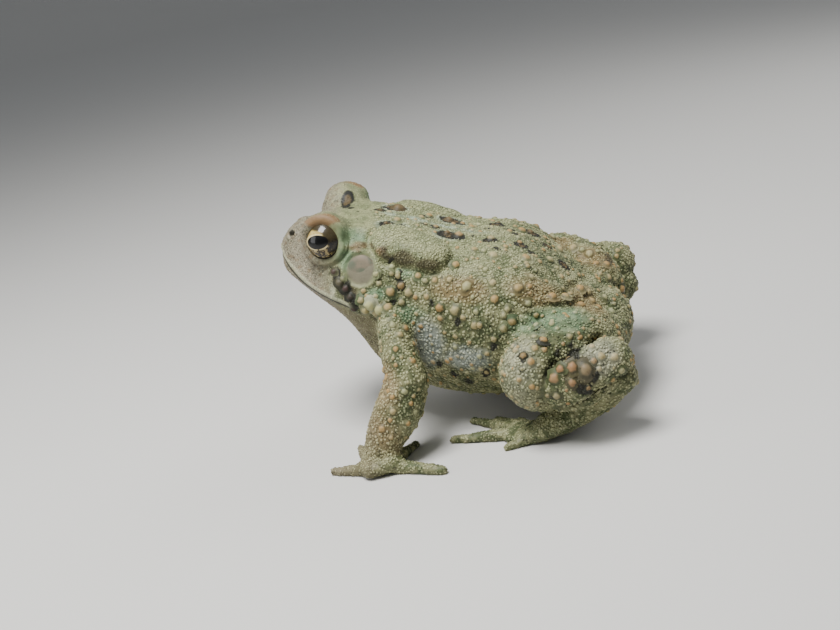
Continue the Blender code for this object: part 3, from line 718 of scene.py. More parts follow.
LEG_WARTS = [
    (21.0, -25.7, 16.1, 1.0), (23.0, -25.6, 15.5, 1.2), (17.8, -26.5, 14.8, 1.05),
    (19.1, -25.9, 16.0, 0.8), (25.9, -24.0, 16.9, 0.85), (20.6, -26.4, 13.8, 0.8),
    (13.7, -25.1, 17.6, 0.8), (12.6, -24.8, 18.7, 0.7), (16.2, -22.8, 20.5, 0.8),
    (14.7, -23.8, 19.6, 0.7), (16.3, -23.6, 19.2, 0.6), (28.2, -23.6, 16.5, 0.85),
    (17.7, -26.6, 11.6, 0.75), (29.1, -23.5, 13.9, 0.65), (23.8, -25.2, 12.2, 0.8),
    (-12.4, -26.6, 11.4, 0.7), (-10.2, -24.4, 14.2, 0.7), (-14.6, -27.6, 8.6, 0.7),
]
print("warts set by hand:", sum(map(len, (FLANK_WARTS, FACE_WARTS, BACK_WARTS, LEG_WARTS))))

# %% Random places on the skin
SAMPLES = 420000


def shell_samples(mesh, count, rng):
    """Random points on the mesh, spread evenly by area, with the normal of each."""
    mesh.calc_loop_triangles()
    corners = np.empty(len(mesh.loop_triangles) * 3, int)
    mesh.loop_triangles.foreach_get("vertices", corners)
    corners = corners.reshape(-1, 3)
    points = get_points(mesh)
    normals = get_points(mesh, "normal")
    a, b, c = (points[corners[:, k]] for k in range(3))
    area = np.linalg.norm(np.cross(b - a, c - a), axis=1)
    chosen = rng.choice(len(corners), count, p=area / area.sum())
    first, second = rng.random((2, count))
    folded = first + second > 1
    first, second = np.where(folded, 1 - first, first), np.where(folded, 1 - second, second)
    shares = np.stack([1 - first - second, first, second], -1)[..., None]
    places = (points[corners[chosen]] * shares).sum(1)
    ways = (normals[corners[chosen]] * shares).sum(1)
    return places, ways / np.linalg.norm(ways, axis=1, keepdims=True)


def thinned(places, spacing, rng):
    """Keep one point in each cube of a grid whose cells are the spacing, chosen at random."""
    order = rng.permutation(len(places))
    cells = np.floor(places[order] / np.asarray(spacing)[order][:, None]).astype(int)
    cells = np.column_stack([cells, np.round(np.asarray(spacing)[order] * 100).astype(int)])
    _, first = np.unique(cells, axis=0, return_index=True)
    return order[first]


samples, sample_normals = shell_samples(skin.data, SAMPLES, RNG)
print("random places on the skin:", len(samples))

# %% [markdown]
# ## Many small hills from one profile
# A wart or a granule is a stack of small rings round its own normal. All of them are worked
# out at once as one array: root, normal, size, ring and side. The rings at the foot lie a
# little below the skin, so no gap shows. Each hill carries a number for how high on it a
# point is, which the finish uses to paint its tip, and painted shade round its foot. On
# granules the pale tip is partly a painted highlight.

# %% Flat places of the roots
UNWRAP_TILES = 6
SHEET = 100
LIMB_OUT = 15.5
FEET_TOP = 4.5


def unwrap_places(places, normals):
    """Each root's place on a flat sheet: a tile for the trunk or a limb and the way it faces."""
    side = places[:, 1] > 0
    out = np.abs(places[:, 1]) > LIMB_OUT
    low = places[:, 2] < FEET_TOP
    part = np.where(low, 1 + side, np.where(out & (places[:, 0] > 8), 3 + side, 0))
    part = np.where(~low & out & (places[:, 0] < -4) & (places[:, 2] < 22), 5, part)
    axis = np.abs(normals).argmax(1)
    facing = axis * 2 + (normals[np.arange(len(axis)), axis] > 0)
    tile = part * 6 + facing
    flat = np.where(axis[:, None] == 0, places[:, [1, 2]],
                    np.where(axis[:, None] == 1, places[:, [0, 2]], places[:, [0, 1]]))
    inside = 0.02 + 0.96 * (flat / SHEET + 0.5)
    corner = np.stack([tile % UNWRAP_TILES, tile // UNWRAP_TILES], -1)
    return (corner + inside) / UNWRAP_TILES


print("tiles on the sheet:", UNWRAP_TILES**2)

# %% Turn roots into hills
PATCH = 0.0015


def hill_faces(count, levels, sides):
    """Triangles of many stacks of rings, each closed by a tip: ring walls, then a cap."""
    quads = ring_quads(levels, sides)
    walls = [quads[..., half].reshape(-1, 3) for half in ([0, 1, 2], [0, 2, 3])]
    here = np.arange(sides)
    last = (levels - 1) * sides
    cap = np.stack([last + here, last + (here + 1) % sides, 0 * here + levels * sides], -1)
    one = np.vstack(walls + [cap])
    return (one[None] + (np.arange(count) * (levels * sides + 1))[:, None, None]).reshape(-1, 3)


def hills(name, places, normals, radii, profile, sides):
    """Joined hills: root + side * radius * reach + normal * radius * rise for each ring."""
    reach, rise = np.array(profile).T
    helper = np.where(np.abs(normals[:, 2:3]) < 0.9, (0.0, 0.0, 1.0), (1.0, 0.0, 0.0))
    first = np.cross(normals, helper)
    first /= np.linalg.norm(first, axis=1, keepdims=True)
    second = np.cross(normals, first)
    angle = np.linspace(0, 2 * np.pi, sides, endpoint=False)
    turn = (angle + RNG.uniform(0, 2 * np.pi, len(places))[:, None])[..., None]
    spokes = np.cos(turn) * first[:, None] + np.sin(turn) * second[:, None]
    stretch = radii[:, None] * RNG.uniform(0.85, 1.15, (len(places), sides))
    rings = (places[:, None, None]
             + spokes[:, None] * (reach[:-1, None] * stretch[:, None])[..., None]
             + (normals * radii[:, None])[:, None, None] * rise[:-1, None, None])
    tips = places + normals * (radii * rise[-1])[:, None]
    count, levels = len(places), len(reach) - 1
    each = levels * sides + 1
    points = np.concatenate([rings.reshape(count, -1, 3), tips[:, None]], 1).reshape(-1, 3)
    triangles = hill_faces(count, levels, sides)
    mesh = bpy.data.meshes.new(name)
    mesh.vertices.add(len(points))
    mesh.vertices.foreach_set("co", ((points + SHIFT) * MM).ravel())
    mesh.loops.add(triangles.size)
    mesh.loops.foreach_set("vertex_index", triangles.ravel())
    mesh.polygons.add(len(triangles))
    mesh.polygons.foreach_set("loop_start", np.arange(len(triangles)) * 3)
    mesh.update(calc_edges=True)
    share = np.append(np.repeat(rise[:-1], sides), rise[-1]) / rise[-1]
    keep_number(mesh, "height", np.tile(share, count))
    keep_number(mesh, "tint", np.repeat(RNG.random(count), each))
    patch = np.append(np.repeat(reach[:-1], sides), 0.0) / reach.max() * PATCH
    offset = np.stack([np.append(np.tile(np.cos(angle), levels), 0.0),
                       np.append(np.tile(np.sin(angle), levels), 0.0)], -1) * patch[:, None]
    flat = (unwrap_places(places, normals)[:, None] + offset[None]).reshape(-1, 2)
    layer = mesh.uv_layers.new(name="OFBake")
    layer.data.foreach_set("uv", flat[triangles.ravel()].ravel())
    mesh.shade_smooth()
    thing = bpy.data.objects.new(name, mesh)
    bpy.context.scene.collection.objects.link(thing)
    return thing


WART_PROFILE = [(1.75, -0.12), (1.35, 0.0), (1.08, 0.18), (0.84, 0.42), (0.56, 0.64),
                (0.27, 0.76), (0, 0.80)]
GRANULE_PROFILE = [(1.10, -0.25), (0.78, 0.34), (0, 0.62)]
for name, profile, sides in (("wart", WART_PROFILE, 14), ("granule", GRANULE_PROFILE, 6)):
    print("triangles in one", name, len(hill_faces(1, len(profile) - 1, sides)))

# %% [markdown]
# ## Set the large warts
# The wished places are moved to the nearest point of the skin. On the far side they are
# mirrored and shifted a little at random, as no toad has the same warts on both sides.
# Small ones fill the space between, but keep clear of the gland and the creases.

# %% Large warts
tree = BVHTree.FromPolygons(get_points(skin.data).tolist(),
                            [tuple(face.vertices) for face in skin.data.polygons])


def snapped(places):
    """The nearest point of the skin to each place, and the normal there."""
    found = [tree.find_nearest(place) for place in np.asarray(places).tolist()]
    return np.array([hit[0] for hit in found]), np.array([hit[1] for hit in found])


def both_sides(rows, lean, out=0.0, lift=0.0):
    """Wart rows as they are, and their mirror images with a small random shift."""
    near = np.array(rows)
    far = near.copy()
    far[:, :3] = mirrored(far[:, :3], -1) + RNG.normal(0, 0.8, (len(rows), 3))
    if lean:
        near[:, :3], far[:, :3] = leaned(near[:, :3]), leaned(far[:, :3])
    far[:, 1] += out
    far[:, 2] += lift
    return np.vstack([near, far])


back_rows = np.array(BACK_WARTS)
back_rows[:, :3] = leaned(back_rows[:, :3])
wart_rows = np.vstack([both_sides(FLANK_WARTS, True), both_sides(FACE_WARTS, True), back_rows,
                       both_sides(LEG_WARTS, False, FAR_LEG_OUT, FAR_LEG_LIFT)])
wart_places, wart_normals = snapped(wart_rows[:, :3])
wart_radii = wart_rows[:, 3]
busy = (samples[:, 2] > 12) | ((samples[:, 0] < 0) & (np.abs(samples[:, 1]) > 17))
pick = thinned(samples, np.where(busy, 2.8, 5.0), RNG)
pick = pick[(samples[pick, 0] > -15) & (samples[pick, 2] > 4.5)]
clear = np.array([np.linalg.norm(wart_places - place, axis=1).min() > 1.6
                  for place in samples[pick]])
pick = pick[clear]
pick = pick[fold_lines(samples[pick]) < 0.4]
pick = pick[distance_to_segment(one_side(upright(samples[pick])), *GLAND) > 4.6]
small_radii = RNG.uniform(0.30, 0.66, len(pick))
wart_places = np.vstack([wart_places, samples[pick]])
wart_normals = np.vstack([wart_normals, sample_normals[pick]])
wart_radii = np.append(wart_radii, small_radii)
warts = hills("warts", wart_places, wart_normals, wart_radii, WART_PROFILE, 14)
print("warts:", len(wart_places), "triangles:", len(warts.data.polygons))

# %% [markdown]
# ## Cover the skin with granules
# Between the warts the skin is shagreen: close-set granules, larger on the flanks, belly and
# arms, finer on the back and finest on the head and fingers. One is kept in each small cube
# of space, and their size follows the spacing. None stand in the creases, the mouth or the
# eye openings, and few on the wrinkled groin.

# %% Granules
GRANULE_STEP = 0.50
STEP_ROUNDING = 0.03
GRANULE_PIECES = 6

here = upright(samples)
side_share = smooth_step(12, 16, np.abs(here[:, 1])) * (1 - smooth_step(29, 35, here[:, 2]))
belly_share = 1 - smooth_step(12, 22, here[:, 2])
head_share = (1 - smooth_step(-17, -12, here[:, 0])) * smooth_step(19, 23, here[:, 2])
groin_share = bell(here[:, 0], 18, 7) * bell(here[:, 2], 22.6, 2.6)
groin_share *= smooth_step(11, 15, np.abs(here[:, 1]))
low_share = 1 - smooth_step(2.5, 5.0, samples[:, 2])
spacing = GRANULE_STEP + 0.16 * np.maximum(side_share, belly_share)
spacing *= (1 - 0.18 * head_share) * (1 - 0.22 * low_share)
steps = np.round(spacing / STEP_ROUNDING) * STEP_ROUNDING
pick = thinned(samples, steps, RNG)
sparse = 0.50 * head_share + 0.25 * low_share + 0.45 * groin_share
keep = RNG.random(len(pick)) > sparse[pick]
for side in (-1, 1):
    offset, oval, rise, reach = eye_oval(here[pick], side)
    in_eye = (np.linalg.norm(offset, axis=1) < EYE_RADIUS + 2) & (reach > 0) & (oval < 1.30)
    away = np.linalg.norm(here[pick] - mirrored(EARDRUM_CENTRE, side), axis=1)
    hole = np.linalg.norm(here[pick] - mirrored(NOSTRIL, side), axis=1)
    keep &= ~in_eye & (away > EARDRUM_RADIUS + 0.3) & (hole > 1.0)
keep &= (samples[pick, 2] > 0.4) & (fold_lines(samples[pick]) < 0.6)
mouth_gap = np.abs(here[pick, 2] - lip_height(here[pick, 0])) < 0.6
keep &= ~(mouth_gap & (here[pick, 0] < MOUTH_CORNER[0]))
pick = pick[keep]
radii = steps[pick] * RNG.uniform(0.34, 0.56, len(pick))
radii *= 1 - 0.25 * head_share[pick] - 0.35 * groin_share[pick]
order = np.argsort(samples[pick, 0])
granules, granule_roots = [], []
for number, chosen in enumerate(np.array_split(order, GRANULE_PIECES)):
    granules.append(hills(f"granules_{number + 1}", samples[pick][chosen],
                          sample_normals[pick][chosen], radii[chosen], GRANULE_PROFILE, 6))
    granule_roots.append(samples[pick][chosen])
    print(granules[-1].name, len(chosen), "triangles:", len(granules[-1].data.polygons))

# %% [markdown]
# ## Eyes and eardrums
# The eyeball is a polished ball. Its gold iris and the level oval pupil are painted by the
# finish. The eardrum is a thin round skin, slightly domed, set in its rim.

# %% Eyeballs and eardrums


def turned(centre, axis, profile, sides=48):
    """Rings round an axis: centre + axis * height + (cos, sin) * radius for each profile pair."""
    axis = axis / np.linalg.norm(axis)
    level = np.cross(axis, (0, 0, 1))
    level /= np.linalg.norm(level)
    up = np.cross(level, axis)
    angle = np.linspace(0, 2 * np.pi, sides, endpoint=False)[:, None]
    spokes = np.cos(angle) * level + np.sin(angle) * up
    return np.array([centre + axis * height + spokes * radius for height, radius in profile])


DRUM_FACING = (-0.08, 0.93, 0.36)
DRUM_PROFILE = [(-0.9, 2.7), (-0.30, 2.85), (0.0, 2.6), (0.08, 1.7), (0.16, 0.8), (0.18, 0.2)]
eyes, drums = [], []
for side, word in ((-1, "left"), (1, "right")):
    centre, out, forward, up = eye_frame(side)
    polar = np.linspace(0, np.pi, 42)[1:-1]
    profile = [(-np.cos(turn) * (EYE_RADIUS + 0.2 * smooth_step(0.6, 1.0, -np.cos(turn))),
                np.sin(turn) * EYE_RADIUS) for turn in polar]
    eye = new_mesh(f"eyeball_{word}", *closed_loft(leaned(turned(centre, out, profile))))
    middle = mirrored(EARDRUM_CENTRE, side)
    rings = turned(middle, mirrored(DRUM_FACING, side), DRUM_PROFILE)
    drum = new_mesh(f"drum_{word}", *closed_loft(leaned(rings)))
    for thing in (eye, drum):
        outward(thing.data)
        thing.data.shade_smooth()
    eyes.append(eye)
    drums.append(drum)
print("eyeballs:", len(eyes), "eardrums:", len(drums))

# %% [markdown]
# ## Colours
# The pattern is worked out from the place on the toad, so skin, warts and granules agree
# wherever they meet. A small shared node group turns a place into millimetres on the
# upright toad.

# %% Helpers for nodes


class Mixer:
    """Short calls that add nodes to one tree and hand back the socket that goes on.

    Values are sockets of other nodes, plain numbers, or colours and triples.
    """

    def __init__(self, tree):
        self.tree = tree

    def link(self, socket, target):
        self.tree.links.new(socket, target)

    def add(self, kind, links=(), **values):
        """Add a node, set its properties and plain inputs, and link the given sockets to it."""
        node = self.tree.nodes.new(kind)
        for name, value in values.items():
            if hasattr(node, name) and name not in node.inputs:
                setattr(node, name, value)
            else:
                node.inputs[name].default_value = value
        for socket, target in links:
            self.link(socket, node.inputs[target])
        return node

    def fill(self, node, *numbered):
        """Put numbers, colours or sockets into inputs, given as pairs of number and value."""
        for number, value in numbered:
            target = node.inputs[number]
            if isinstance(value, (int, float)):
                target.default_value = value
            elif isinstance(value, tuple):
                target.default_value = (*value, 1.0)[:len(target.default_value)]
            else:
                self.link(value, target)

    def math(self, operation, *values):
        """A Math node."""
        node = self.add("ShaderNodeMath", operation=operation)
        self.fill(node, *enumerate(values))
        return node.outputs[0]

    def times(self, first, second):
        """The product of two values."""
        return self.math("MULTIPLY", first, second)

    def length(self, first, second):
        """The length of a flat offset: the root of the sum of both squares."""
        squares = [self.math("POWER", value, 2.0) for value in (first, second)]
        return self.math("SQRT", self.math("ADD", *squares))

    def along(self, operation, *values):
        """A Vector Math node; a dot product or a length is a plain number."""
        node = self.add("ShaderNodeVectorMath", operation=operation)
        self.fill(node, *enumerate(values))
        return node.outputs["Value" if operation in ("DOT_PRODUCT", "LENGTH") else "Vector"]

    def blend(self, share, first, second, mode="MIX"):
        """A colour Mix node: the share leads from the first colour to the second."""
        node = self.add("ShaderNodeMix", data_type="RGBA", blend_type=mode)
        self.fill(node, (0, share), (6, first), (7, second))
        return node.outputs[2]

    def ramp(self, value, low, high):
        """0 to 1 with soft ends as the value goes from low to high."""
        node = self.add("ShaderNodeMapRange", interpolation_type="SMOOTHSTEP")
        self.fill(node, (0, value), (1, low), (2, high))
        return node.outputs["Result"]

    def noise(self, place, scale, detail=3.0, roughness=0.55):
        """Noise at a scale in turns per unit of the place."""
        node = self.add("ShaderNodeTexNoise", [(place, "Vector")],
                        Scale=scale, Detail=detail, Roughness=roughness)
        return node.outputs["Fac"]

    def place(self):
        """The place on the object."""
        return self.add("ShaderNodeTexCoord").outputs["Object"]

    def kept(self, name, output="Fac"):
        """A number or a colour that is kept on the mesh's points."""
        return self.add("ShaderNodeAttribute", attribute_name=name).outputs[output]

    def use(self, group, **links):
        """Place a node group, link sockets to its named inputs, and list its outputs."""
        node = self.add("ShaderNodeGroup", node_tree=group)
        for name, socket in links.items():
            self.link(socket, node.inputs[name])
        return list(node.outputs)


print("short calls:", [name for name in vars(Mixer) if not name.startswith("_")])

# %% The upright place


def new_group(name, inputs, outputs):
    """A mixer for an empty node group with named sockets, and its entry and exit nodes."""
    group = bpy.data.node_groups.new(name, "ShaderNodeTree")
    for way, sockets in (("INPUT", inputs), ("OUTPUT", outputs)):
        for socket, kind in sockets.items():
            group.interface.new_socket(socket, in_out=way, socket_type="NodeSocket" + kind)
    return Mixer(group), group.nodes.new("NodeGroupInput"), group.nodes.new("NodeGroupOutput")


mix, entry, leave = new_group("toad_upright", {"Place": "Vector"}, {"Place": "Vector"})
turn = mix.add("ShaderNodeMapping", [(entry.outputs[0], "Vector")], vector_type="TEXTURE",
               Location=tuple((SHIFT + (0, *LEAN_LINE)) * MM), Rotation=(LEAN, 0, 0),
               Scale=(MM, MM, MM))
mix.link(mix.along("ADD", turn.outputs[0], (0, *LEAN_LINE)), leave.inputs[0])
upright_group = mix.tree
print("node groups:", [group.name for group in bpy.data.node_groups])

# %% [markdown]
# ## The pattern of the toad
# The base goes from olive to tan in slow patches. Soft regions are laid over it, then a
# pale stripe down the back and the dark-edged spots and blotches, with painted shade on
# the lower half of the parotoid gland. Their places are millimetres on the upright toad.
# Flanks and face take the same marks on both sides, bent by slow waves, so the sides agree
# without being exact copies. The mixed paint is kept on the points of the skin, and every
# wart and granule takes the paint of its root.

# %% Marks and regions
OLIVE = (0.085, 0.105, 0.040)
TAN = (0.29, 0.29, 0.145)
MINT = (0.17, 0.30, 0.165)
WARM_GREY = (0.34, 0.29, 0.22)
BLUE_GREY = (0.42, 0.47, 0.43)
BROWN = (0.055, 0.038, 0.016)
DARK = (0.007, 0.007, 0.006)
CREAM = (0.62, 0.64, 0.42)
# Pale cream of hill tips, partly a painted highlight.
TIP_CREAM_AND_HIGHLIGHT = (0.55, 0.55, 0.31)
ORANGE = (0.32, 0.200, 0.072)
RUST = (0.22, 0.085, 0.045)
STRIPE = (0.40, 0.50, 0.38)
BACK_TAN = (0.31, 0.335, 0.165)
SADDLE_BROWN = (0.22, 0.145, 0.055)
KNEE_CREAM = (0.44, 0.43, 0.31)
ROSY_TAN = (0.29, 0.185, 0.09)
SPOT_BROWN = (0.12, 0.080, 0.032)
PALE_WART = (0.37, 0.36, 0.16)
PURPLE = (0.045, 0.026, 0.020)
THROAT = (0.20, 0.16, 0.09)
LID_BROWN = (0.21, 0.115, 0.048)
DRUM_GREY = (0.17, 0.15, 0.105)
# Painted shade of the crevices at the feet of hills.
FOOT_SHADE = (0.022, 0.024, 0.009)

BACK_BROWN = [(-12.2, 2.9, 41.0, 1.6, 1.3, 2.5, 18), (-11.2, -5.6, 40.3, 2.0, 0.9, 2.5, 18),
              (-1.6, 2.9, 36.9, 1.9, 1.2, 2.5, 20), (-1.2, -4.5, 36.6, 1.7, 1.1, 2.5, 20),
              (-14.6, 0.5, 42.0, 1.0, 0.6, 2.0, 0), (-21.8, 3.6, 43.9, 1.0, 2.6, 1.5, 0),
              (12.0, -3.9, 32.4, 1.1, 0.8, 2, 30), (6.4, -4.3, 34.7, 1.1, 0.7, 2, 20),
              (13.4, 4.2, 31.6, 1.3, 0.9, 2, 30), (6.8, 4.4, 34.2, 1.3, 0.8, 2, 20),
              (20.0, -2.0, 27.5, 1.3, 0.9, 2, 40), (16.5, 1.5, 29.8, 1.0, 0.7, 2, 40)]
BACK_BLACK = [(-14.3, 2.3, 41.7, 0.5, 0.4, 1.5), (-6.2, 1.5, 38.8, 1.2, 0.45, 2, 20),
              (-6.1, -2.3, 38.8, 0.7, 0.35, 2, 20), (-4.0, -2.7, 37.8, 0.9, 0.4, 2, 20),
              (-2.2, -4.4, 36.9, 0.5, 0.5, 2), (0.3, -4.5, 36.1, 0.9, 0.65, 2, 20),
              (-3.4, 3.5, 37.5, 0.5, 0.6, 2), (0.1, 2.3, 36.2, 0.5, 0.5, 2),
              (-18.6, -1.4, 43.0, 0.3, 0.3, 1), (-20.6, 0.6, 43.2, 0.6, 0.6, 1),
              (5.4, 1.4, 35.0, 0.9, 0.3, 2, 20), (3.2, -3.0, 35.4, 0.5, 0.4, 2),
              (9.3, 2.6, 33.6, 1.0, 0.4, 2), (10.8, 1.2, 33.2, 0.6, 0.5, 2),
              (13.9, -5.2, 31.2, 0.6, 0.5, 2), (8.2, -7.4, 33.9, 0.6, 0.4, 2)]
SIDE_BLACK = [(-9.7, 14.5, 32.2, 0.75, 2, 1.3), (-10.8, 15.0, 30.2, 0.6, 2, 0.9),
              (-11.5, 15.5, 28.6, 0.5, 2, 0.7), (-10.9, 13.9, 36.1, 0.5, 1.5, 0.9, 30),
              (-3.9, 16.3, 27.9, 0.7, 2, 0.6), (-1.8, 16.6, 27.6, 0.3, 2, 0.4),
              (0.5, 18.1, 24.7, 0.7, 2.5, 1.3, 20), (0, 15.9, 11, 0.9, 2, 0.9),
              (-2.7, 16.1, 12.9, 0.8, 2, 0.7), (3.7, 17.7, 13.1, 0.9, 2, 0.8),
              (6.5, 19.2, 19.4, 0.8, 2.5, 0.9), (-5.3, 16.1, 15.4, 0.8, 2, 0.9),
              (21.2, 25.4, 18.6, 1.5, 3, 1.0), (24.6, 27.0, 16.0, 0.9, 3, 1.6),
              (22.6, 27.8, 13.4, 1.6, 3, 0.9, 30), (12.7, 26.2, 19.9, 0.8, 2, 0.6),
              (12.2, 26.6, 17.8, 0.6, 2, 0.4), (18.6, 24.8, 19.4, 0.5, 2, 0.5),
              (16.6, 24.2, 21.5, 0.5, 2, 0.3), (20.7, 22.3, 19.8, 0.6, 2, 0.3),
              (27.9, 24.0, 18.0, 0.6, 2, 0.6), (17.0, 26.9, 12.6, 0.9, 2, 0.9)]
# Brown blotches; the two long rows on the parotoid gland are painted shade along its lower half.
SIDE_BROWN_AND_SHADE = [(-11.4, 13.4, 37.3, 0.9, 2, 1.8, -25), (-8.4, 13.8, 36.3, 2.8, 2, 1.5, 14),
              (-3.8, 14.6, 34.7, 2.9, 2, 1.2, 14), (-14.8, 11.6, 39.0, 2.2, 1.6, 0.5, 8),
              (-19.8, 14.2, 30.8, 1.7, 2.5, 2.0, 35), (-21.9, 12.6, 33.8, 1.0, 2.5, 2.0, 10),
              (22.0, 27.5, 16.4, 3.2, 3.5, 3.2), (27.7, 11.0, 22.0, 2.0, 4, 1.0)]
FACE_DARK = [(-20.4, 14.1, 32.2, 1.4, 2, 1.6, 30), (-21.9, 12.8, 34.4, 0.8, 2, 1.3, 10),
             (-18.9, 15.0, 29.0, 0.8, 2, 1.1, 30), (-19.4, 14.7, 30.4, 1.3, 2, 1.1)]
MINTS = [(-17.6, 10.8, 40.6, 3.2, 3.0, 3.4), (-19.8, 12.4, 37.2, 2.0, 2.5, 2.6),
         (17, 17.5, 22.4, 9, 5, 2.6), (-9, 15, 26, 4, 3, 2.2),
         (-14.8, 14.5, 30.5, 3.2, 3, 1.6), (-8.5, 15, 33.4, 3.0, 3, 1.0)]
PALES = [(-6.2, 16, 20.0, 3.6, 4, 5.5, 10), (1.0, 17, 17, 5, 4, 3.0)]
KNEES = [(12.0, 24, 15.5, 4.2, 5, 7.0), (25.5, 25, 17.5, 4.0, 6, 3.0)]
SADDLE = [(2, 15.5, 29.5, 7, 3.5, 2.6, 12), (15, 14.0, 26.5, 7, 4.5, 2.6, 25),
          (24, 9, 22, 5, 5, 3, 30)]
ROSY = [(-13.5, 24, 15, 3.4, 6, 6), (-15, 28, 8, 3.6, 4, 6)]
CREAMS = [(-23.0, 12.7, 31.9, 0.8, 2.5, 2.8, 30), (-15.8, 15.4, 28.4, 2.0, 2, 0.9, 15)]
EAR_RIM = [(-16.6, 11.6, 39.0, 2.8, 2.0, 0.8, 6), (-12.6, 12.8, 38.0, 1.2, 2.0, 0.8, -30)]
REGIONS = ((SADDLE, 0.75, SADDLE_BROWN), (MINTS, 0.62, MINT), (PALES, 0.75, BLUE_GREY),
           (KNEES, 0.65, KNEE_CREAM), (ROSY, 0.65, ROSY_TAN), (CREAMS, 0.75, CREAM),
           (EAR_RIM, 0.75, LID_BROWN))
print("marks:", sum(map(len, (BACK_BROWN, BACK_BLACK, SIDE_BLACK, SIDE_BROWN_AND_SHADE, FACE_DARK))))

# %% Mix the paint


def spot_share(points, rows, inner=0.85, outer=1.15):
    """Largest share of stretched spots: 1 inside, 0 outside, by the length of offset / reach."""
    share = np.zeros(len(points))
    for row in rows:
        offset = points - row[:3]
        tip = np.radians(row[6] if len(row) > 6 else 0)
        level = offset[:, 0] * np.cos(tip) - offset[:, 2] * np.sin(tip)
        rise = offset[:, 0] * np.sin(tip) + offset[:, 2] * np.cos(tip)
        away = np.sqrt((level / row[3])**2 + (offset[:, 1] / row[4])**2 + (rise / row[5])**2)
        share = np.maximum(share, 1 - smooth_step(inner, outer, away))
    return share


def laid(colour, share, shade):
    """Lay a shade over a colour: colour + share * (shade - colour)."""
    return colour + share[:, None] * (np.array(shade) - colour)


def paints(points):
    """Skin colour, wart colour, and the share of dark marks and painted shade, at places of the leaning
    toad.
    """
    level = upright(points)
    bend = [uneven(level, 20, 2.6, seed) + 0.5 * uneven(level, 20, 1.1, seed + 3)
            for seed in (21, 22, 23)]
    bent = level + 0.24 * np.stack(bend, -1)
    both = one_side(bent)
    x, y, z = bent.T
    slow = (uneven(level, 30, 5.0, 31) + 0.7 * uneven(level, 30, 2.2, 32)
            + 0.5 * uneven(level, 30, 1.0, 33))
    patches = smooth_step(-0.75, 0.75, slow)
    colour = laid(np.tile(OLIVE, (len(points), 1)), patches, TAN)
    colour = laid(colour, 0.5 * smooth_step(30, 36, z), BACK_TAN)
    for rows, amount, shade in REGIONS:
        colour = laid(colour, amount * spot_share(both, rows, 0.5, 1.25), shade)
    snout = 1 - smooth_step(-28, -20, x)
    colour = laid(colour, 0.75 * snout, WARM_GREY)
    freckles = uneven(level, 30, 1.5, 35) + 0.6 * uneven(level, 30, 0.8, 36)
    colour = laid(colour, 0.55 * snout * smooth_step(0.1, 0.9, freckles), LID_BROWN)
    line = bell(y + 0.8, 0, 0.75) * smooth_step(-15, -12.5, x) * (1 - smooth_step(-3, 10, x))
    line *= smooth_step(28, 33, z) * smooth_step(-1.0, 0.3, slow)
    colour = laid(colour, 0.85 * line, STRIPE)
    colour = laid(colour, 0.45 * spot_share(bent, BACK_BROWN[:4], 1.4, 2.0), STRIPE)
    brown_and_shade = spot_share(both, SIDE_BROWN_AND_SHADE, 0.7, 1.2)
    # Brown blotches, and painted shade under the parotoid gland.
    colour = laid(colour, 0.80 * brown_and_shade, BROWN)
    edge = spot_share(bent, BACK_BROWN, 1.25, 1.40)
    colour = laid(colour, edge, DARK)
    colour = laid(colour, 0.9 * spot_share(bent, BACK_BROWN, 0.66, 0.84), SPOT_BROWN)
    dark = np.maximum.reduce([spot_share(bent, BACK_BLACK, 1.1, 1.3), spot_share(both, SIDE_BLACK),
                              spot_share(both, FACE_DARK)])
    colour = laid(colour, 0.95 * dark, DARK)
    wart = np.tile(ORANGE, (len(points), 1))
    wart = laid(wart, smooth_step(-0.3, 0.6, uneven(level, 20, 4, 41)), TAN)
    wart = laid(wart, 0.55 * spot_share(both, [(20, 26, 16, 6, 4, 6)], 0.6, 1.2), RUST)
    wart = laid(wart, spot_share(both, CREAMS, 0.9, 1.3), PALE_WART)
    wart = laid(wart, spot_share(both, FACE_DARK, 1.1, 1.7), PURPLE)
    wart = laid(wart, spot_share(bent, BACK_BROWN, 0.9, 1.1), SPOT_BROWN)
    return colour, wart, np.maximum.reduce([dark, edge, 0.8 * brown_and_shade])


def brush(thing, places, each=1):
    """Keep the paint of each place on its group of points, as two colours and one share."""
    colour, wart, dull = paints(places)
    for name, values in (("paint", colour), ("wart_paint", wart)):
        layer = thing.data.color_attributes.new(name, "FLOAT_COLOR", "POINT")
        rows = np.column_stack([values, np.ones(len(values))]).repeat(each, 0)
        layer.data.foreach_set("color", rows.ravel())
    keep_number(thing.data, "dull", dull.repeat(each))


brush(skin, get_points(skin.data))
brush(warts, wart_places, len(warts.data.vertices) // len(wart_places))
for piece, roots in zip(granules, granule_roots):
    brush(piece, roots, len(piece.data.vertices) // len(roots))
print("painted pieces:", 2 + len(granules))

# %% Pattern group
mix, entry, leave = new_group(
    "toad_pattern", {"Place": "Vector", "Paint": "Color", "Dull": "Float"},
    {"Color": "Color", "Foot Shade Color": "Color", "Tip Color And Highlight": "Color"})
level = mix.use(upright_group, Place=entry.outputs["Place"])[0]
x, y, z = mix.add("ShaderNodeSeparateXYZ", [(level, "Vector")]).outputs
both = mix.add("ShaderNodeCombineXYZ", [(x, "X"), (mix.math("ABSOLUTE", y), "Y"), (z, "Z")]).outputs[0]
grain = mix.ramp(mix.noise(level, 1.1, 4, 0.65), 0.30, 0.70)
shade = mix.blend(grain, (0.35, 0.35, 0.35), (1.0, 1.0, 1.0))
colour = mix.blend(0.45, entry.outputs["Paint"], shade, "MULTIPLY")
fine = mix.times(mix.ramp(mix.noise(level, 3.2, 3, 0.7), 0.50, 0.60), mix.ramp(x, -20, -28))
speck = mix.math("MAXIMUM", mix.ramp(mix.noise(level, 1.5, 2), 0.62, 0.68), fine)
colour = mix.blend(mix.times(speck, 0.68), colour, DARK)

